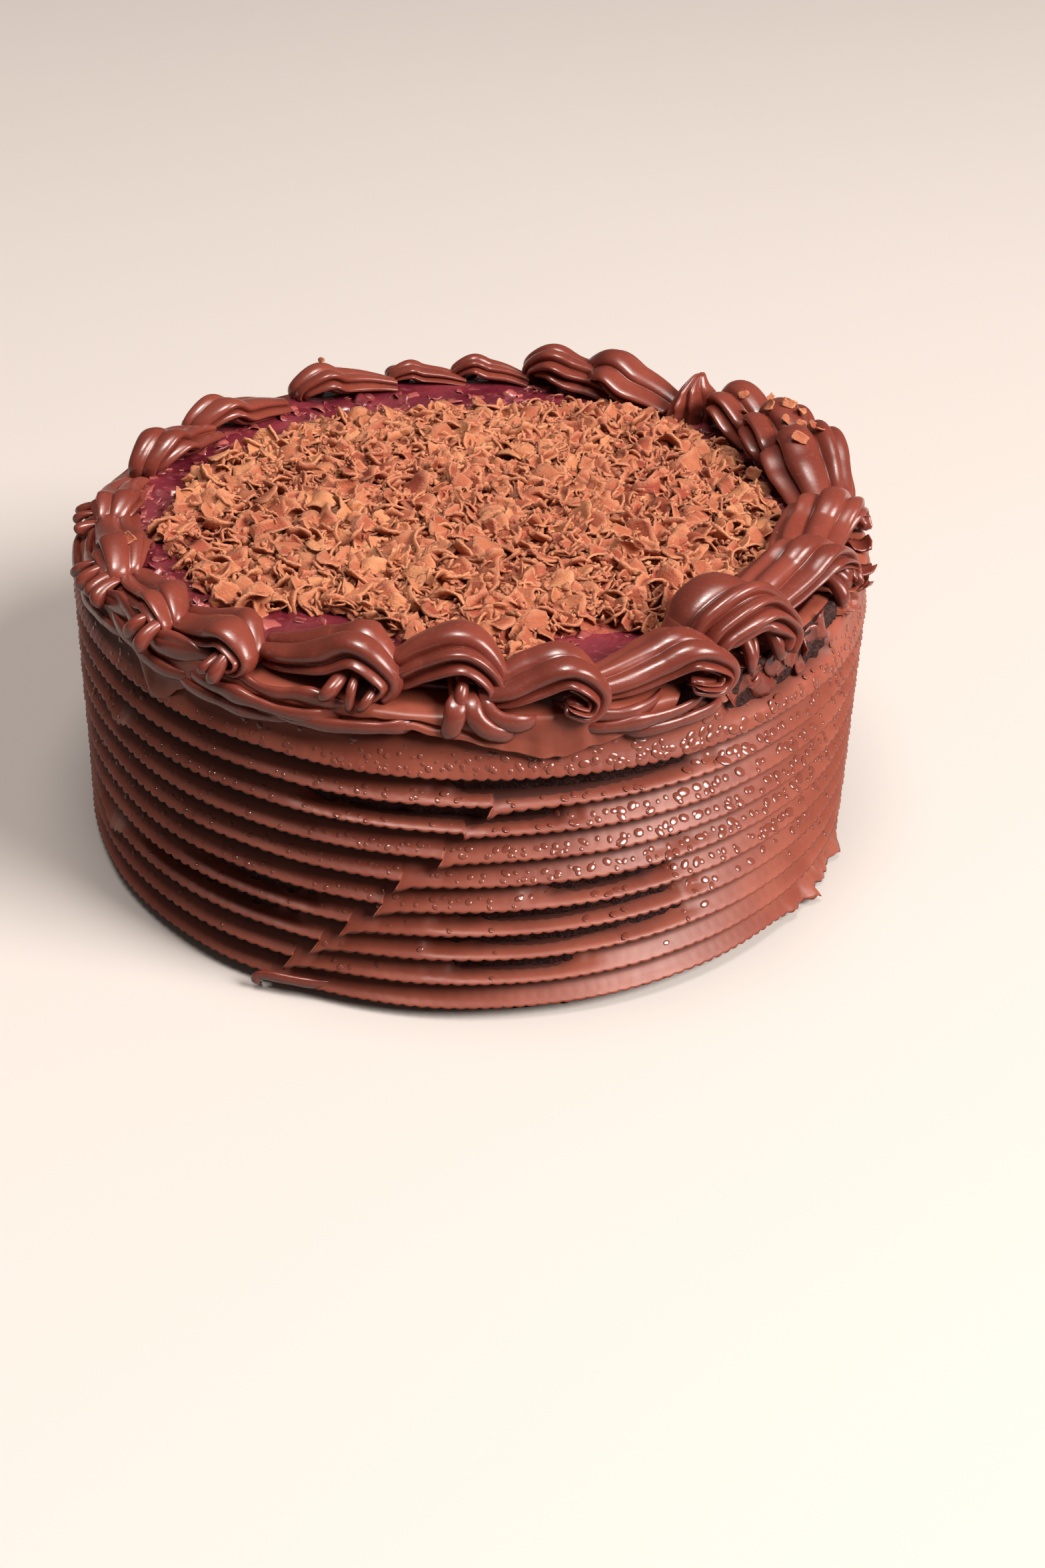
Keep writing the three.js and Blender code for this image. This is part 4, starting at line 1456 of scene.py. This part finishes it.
STRAND_SINK = 3.0
STRAND_BLUNT = 4
STRAND_END = 0.02
STRAND_LUMPS = ((0.35, 5, 3),)
STRIDE_SHARE = 0.02


def strand(bm, thick, places):
    """A dragged strand of icing through its places."""
    verts, x, y, share = add_tube(bm, STRAND_POINTS, STRAND_RINGS)
    to_end = np.abs(2 * share - 1)
    share = (1 - STRIDE_SHARE) * share
    places = np.array(places, dtype=float)
    places[:, 0] = np.radians(places[:, 0])
    here = along_line(places, share)
    azimuth, radius, height = here.T
    run, _, climb = (along_line(places, share + STRIDE_SHARE) - here).T
    run = run * radius
    radius = radius - STRAND_SINK * to_end ** 5
    lumps = 1 + bumps(on_ring(azimuth, radius, height), STRAND_LUMPS)
    wide = thick * lumps * blunt(to_end, STRAND_BLUNT, STRAND_END)
    side = wide * y / np.hypot(run, climb)
    radius_there = radius + wide * x * STRAND_FLATNESS
    points = on_ring(azimuth - side * climb / radius, radius_there, np.maximum(height + side * run, 0))
    move_to(verts, points)


strands = bmesh.new()
for thick, places in RIM_STRANDS:
    strand(strands, thick, places)
finish_piece(strands, "icing_strands", piped_icing, "icing_coat")

# %% [markdown]
# ## The heap's core
# Between flakes the eye looks down into the heap. Filling it with flakes to the bottom would triple their
# number, so a low dome in their colour lies under them and closes the gaps.

# %% Heap core
CORE_RINGS = 30
CORE_COLUMNS = 120
CORE_SINK = 0.8


def make_core():
    rows = disc_rows(HEAP_RADIUS, CORE_RINGS, 0, 1)
    bm, azimuth, row = rolled_grid(len(rows), CORE_COLUMNS)
    radius, upper = rows[row].T
    points = on_ring(azimuth, radius, 0) + (*HEAP_CENTRE, 0)
    x, y, _ = points.T
    points[:, 2] = glaze_level(y) + heap_level(x, y) * upper - CORE_SINK
    settle(bm, points)
    finish = Finish("shavings_core", {"Roughness": 0.8})
    finish.feed("Base Color", finish.blend(finish.grain(600, 4), shade(146, 56, 38), shade(170, 78, 54)))
    finish.bump(finish.grain(500, 4), 2 * MM)
    finish_piece(bm, "shavings_core", finish, "chocolate_shavings")


make_core()

# %% [markdown]
# ## Wet beads on the icing
# Where the icing was warmed it sweated into small flat droplets, in rows on the faces of the ridges. They
# are thickest on the upper ridges at the front and fade out to the back. Bump could fake them, but their
# glints need a true round surface. Each is a squashed sphere half sunk into the icing. The coat's own
# function says where its surface is, and two small steps along it give the direction that faces out.

# %% Droplets
DROP_ROWS = ((0.08, 0.4), (0.18, 0.95))
TOP_DROP_ROWS = DROP_ROWS + ((0.28, 0.5), (0.4, 0.5), (0.55, 0.5))
DROP_SPACING = 1.4
DROP_JITTER = 0.6
DROP_SIZE = (0.5, 1.0)
DROP_GROWTH = (0.75, 0.55)
DROP_STEP_SPREAD = (0.8, 1.2)
DROP_STRETCH = (0.7, 1.6)
DROP_SLANT = 0.9
DROP_FLATNESS = (0.12, 0.28)
WET_PLACE = (-72.0, 135.0)
WET_RIDGES = (1.5, 4.5)
LARGE_PLACE = (-52.0, 50.0)
DRY_SHARE = 0.15
SMALL_TURN = 0.004
SMALL_STEP = 0.03


def drop_shape():
    bm = bmesh.new()
    bmesh.ops.create_uvsphere(bm, u_segments=8, v_segments=6, radius=1)
    bmesh.ops.triangulate(bm, faces=bm.faces, quad_method="FIXED")
    points, faces = mesh_arrays(bm)
    return points, faces, np.zeros(len(points))


def drop_finish():
    finish = Finish("wet_icing", {"Roughness": 0.14, "Specular IOR Level": 0.5})
    finish.feed("Base Color", finish.blend(finish.grain(300, 2), shade(128, 64, 50), shade(146, 78, 62)))
    return finish


def drop_spots(draw):
    """Places and sizes of droplets on the comb's faces, in rows that fade out away from the wet side."""
    for ridge in range(1, RIDGE_COUNT):
        for step, odds in TOP_DROP_ROWS if ridge == RIDGE_COUNT - 1 else DROP_ROWS:
            for place in range(round(360 / DROP_SPACING)):
                degrees = place * DROP_SPACING - 180 + draw.uniform(-DROP_JITTER, DROP_JITTER)
                wet = near(degrees, WET_PLACE) * rise(ridge, *WET_RIDGES)
                if draw.random() < odds * max(wet, DRY_SHARE):
                    growth = DROP_GROWTH[0] + DROP_GROWTH[1] * near(degrees, LARGE_PLACE)
                    size = draw.uniform(*DROP_SIZE) * growth
                    yield math.radians(degrees), ridge, step * draw.uniform(*DROP_STEP_SPREAD), size


def unit(vectors):
    return vectors / np.linalg.norm(vectors, axis=1)[:, None]


def droplets(draw):
    """Each droplet with its shape, its own axes as a turn, and its spot."""
    azimuth, ridge, step, sizes = np.array(list(drop_spots(draw))).T
    ridge = ridge.astype(int)
    on_face = np.zeros(len(step), dtype=bool)
    centres = comb_face(azimuth, ridge, step, on_face)
    across = unit(comb_face(azimuth + SMALL_TURN, ridge, step, on_face) - centres)
    facing = unit(np.cross(across, comb_face(azimuth, ridge, step + SMALL_STEP, on_face) - centres))
    along = np.cross(facing, across)
    shape = drop_shape()
    for centre, size, right, up, out in zip(centres, sizes, across, along, facing):
        slant = draw.uniform(-DROP_SLANT, DROP_SLANT)
        long = (right * math.cos(slant) + up * math.sin(slant)) * draw.uniform(*DROP_STRETCH)
        short = up * math.cos(slant) - right * math.sin(slant)
        axes = np.stack((long, short, out * draw.uniform(*DROP_FLATNESS)), axis=1)
        yield shape, axes * size, centre, ICING_TONE


drops = list(droplets(random.Random(8)))
print(f"{len(drops)} droplets")
joined_flakes("icing_droplets", drops, drop_finish(), "icing_coat")

# %% [markdown]
# ## Floor and light
# The cake stands on a pale seamless floor. A large soft lamp at the front right gives the shape, a weak one
# above fills the top, and a small one beside it puts the bright glints on icing and droplets. The glint
# lamp gives no diffuse light, and the floor throws none back at the cake, which keeps the grooves dark.
# A lamp is given by its name, place, size, power and colour, and a dim pale world does the rest.

# %% Stage
FLOOR_SIZE = 6.0
LAMPS = (
    ("key_lamp", (1.95, -1.1, 1.9), 1.4, 132, (1.0, 0.98, 0.96)),
    ("top_lamp", (-0.1, -0.3, 2.2), 1.2, 28, (1.0, 0.97, 0.95)),
    ("glint_lamp", (-0.35, -0.5, 2.2), 0.35, 36, (1.0, 0.97, 0.95)),
)
WORLD_COLOUR = (1.0, 0.95, 0.89, 1.0)
WORLD_STRENGTH = 0.11


def make_floor():
    bm = bmesh.new()
    bmesh.ops.create_grid(bm, x_segments=1, y_segments=1, size=FLOOR_SIZE / 2)
    mesh = bpy.data.meshes.new("floor")
    bm.to_mesh(mesh)
    bm.free()
    finish = Finish("pale_floor", {"Roughness": 0.6})
    finish.feed("Base Color", finish.blend(finish.grain(3, 2), shade(211, 199, 191), shade(214, 202, 194)))
    mesh.materials.append(finish.material)
    floor = bpy.data.objects.new("floor", mesh)
    bpy.context.scene.collection.objects.link(floor)
    floor.visible_diffuse = False


def make_lamp(name, place, size, power, colour):
    lamp = bpy.data.lights.new(name, "AREA")
    lamp.shape = "DISK"
    lamp.size = size
    lamp.energy = power
    lamp.color = colour
    holder = bpy.data.objects.new(name, lamp)
    holder.location = place
    holder.rotation_euler = (-Vector(place)).to_track_quat("-Z", "Y").to_euler()
    holder.visible_diffuse = name != "glint_lamp"
    bpy.context.scene.collection.objects.link(holder)


make_floor()
for lamp in LAMPS:
    make_lamp(*lamp)
world = bpy.data.worlds.new("pale_room")
world.use_nodes = True
background = world.node_tree.nodes["Background"]
background.inputs["Color"].default_value = WORLD_COLOUR
background.inputs["Strength"].default_value = WORLD_STRENGTH
bpy.context.scene.world = world
bpy.context.scene.view_settings.view_transform = "Standard"
print("floor and lamps in place")
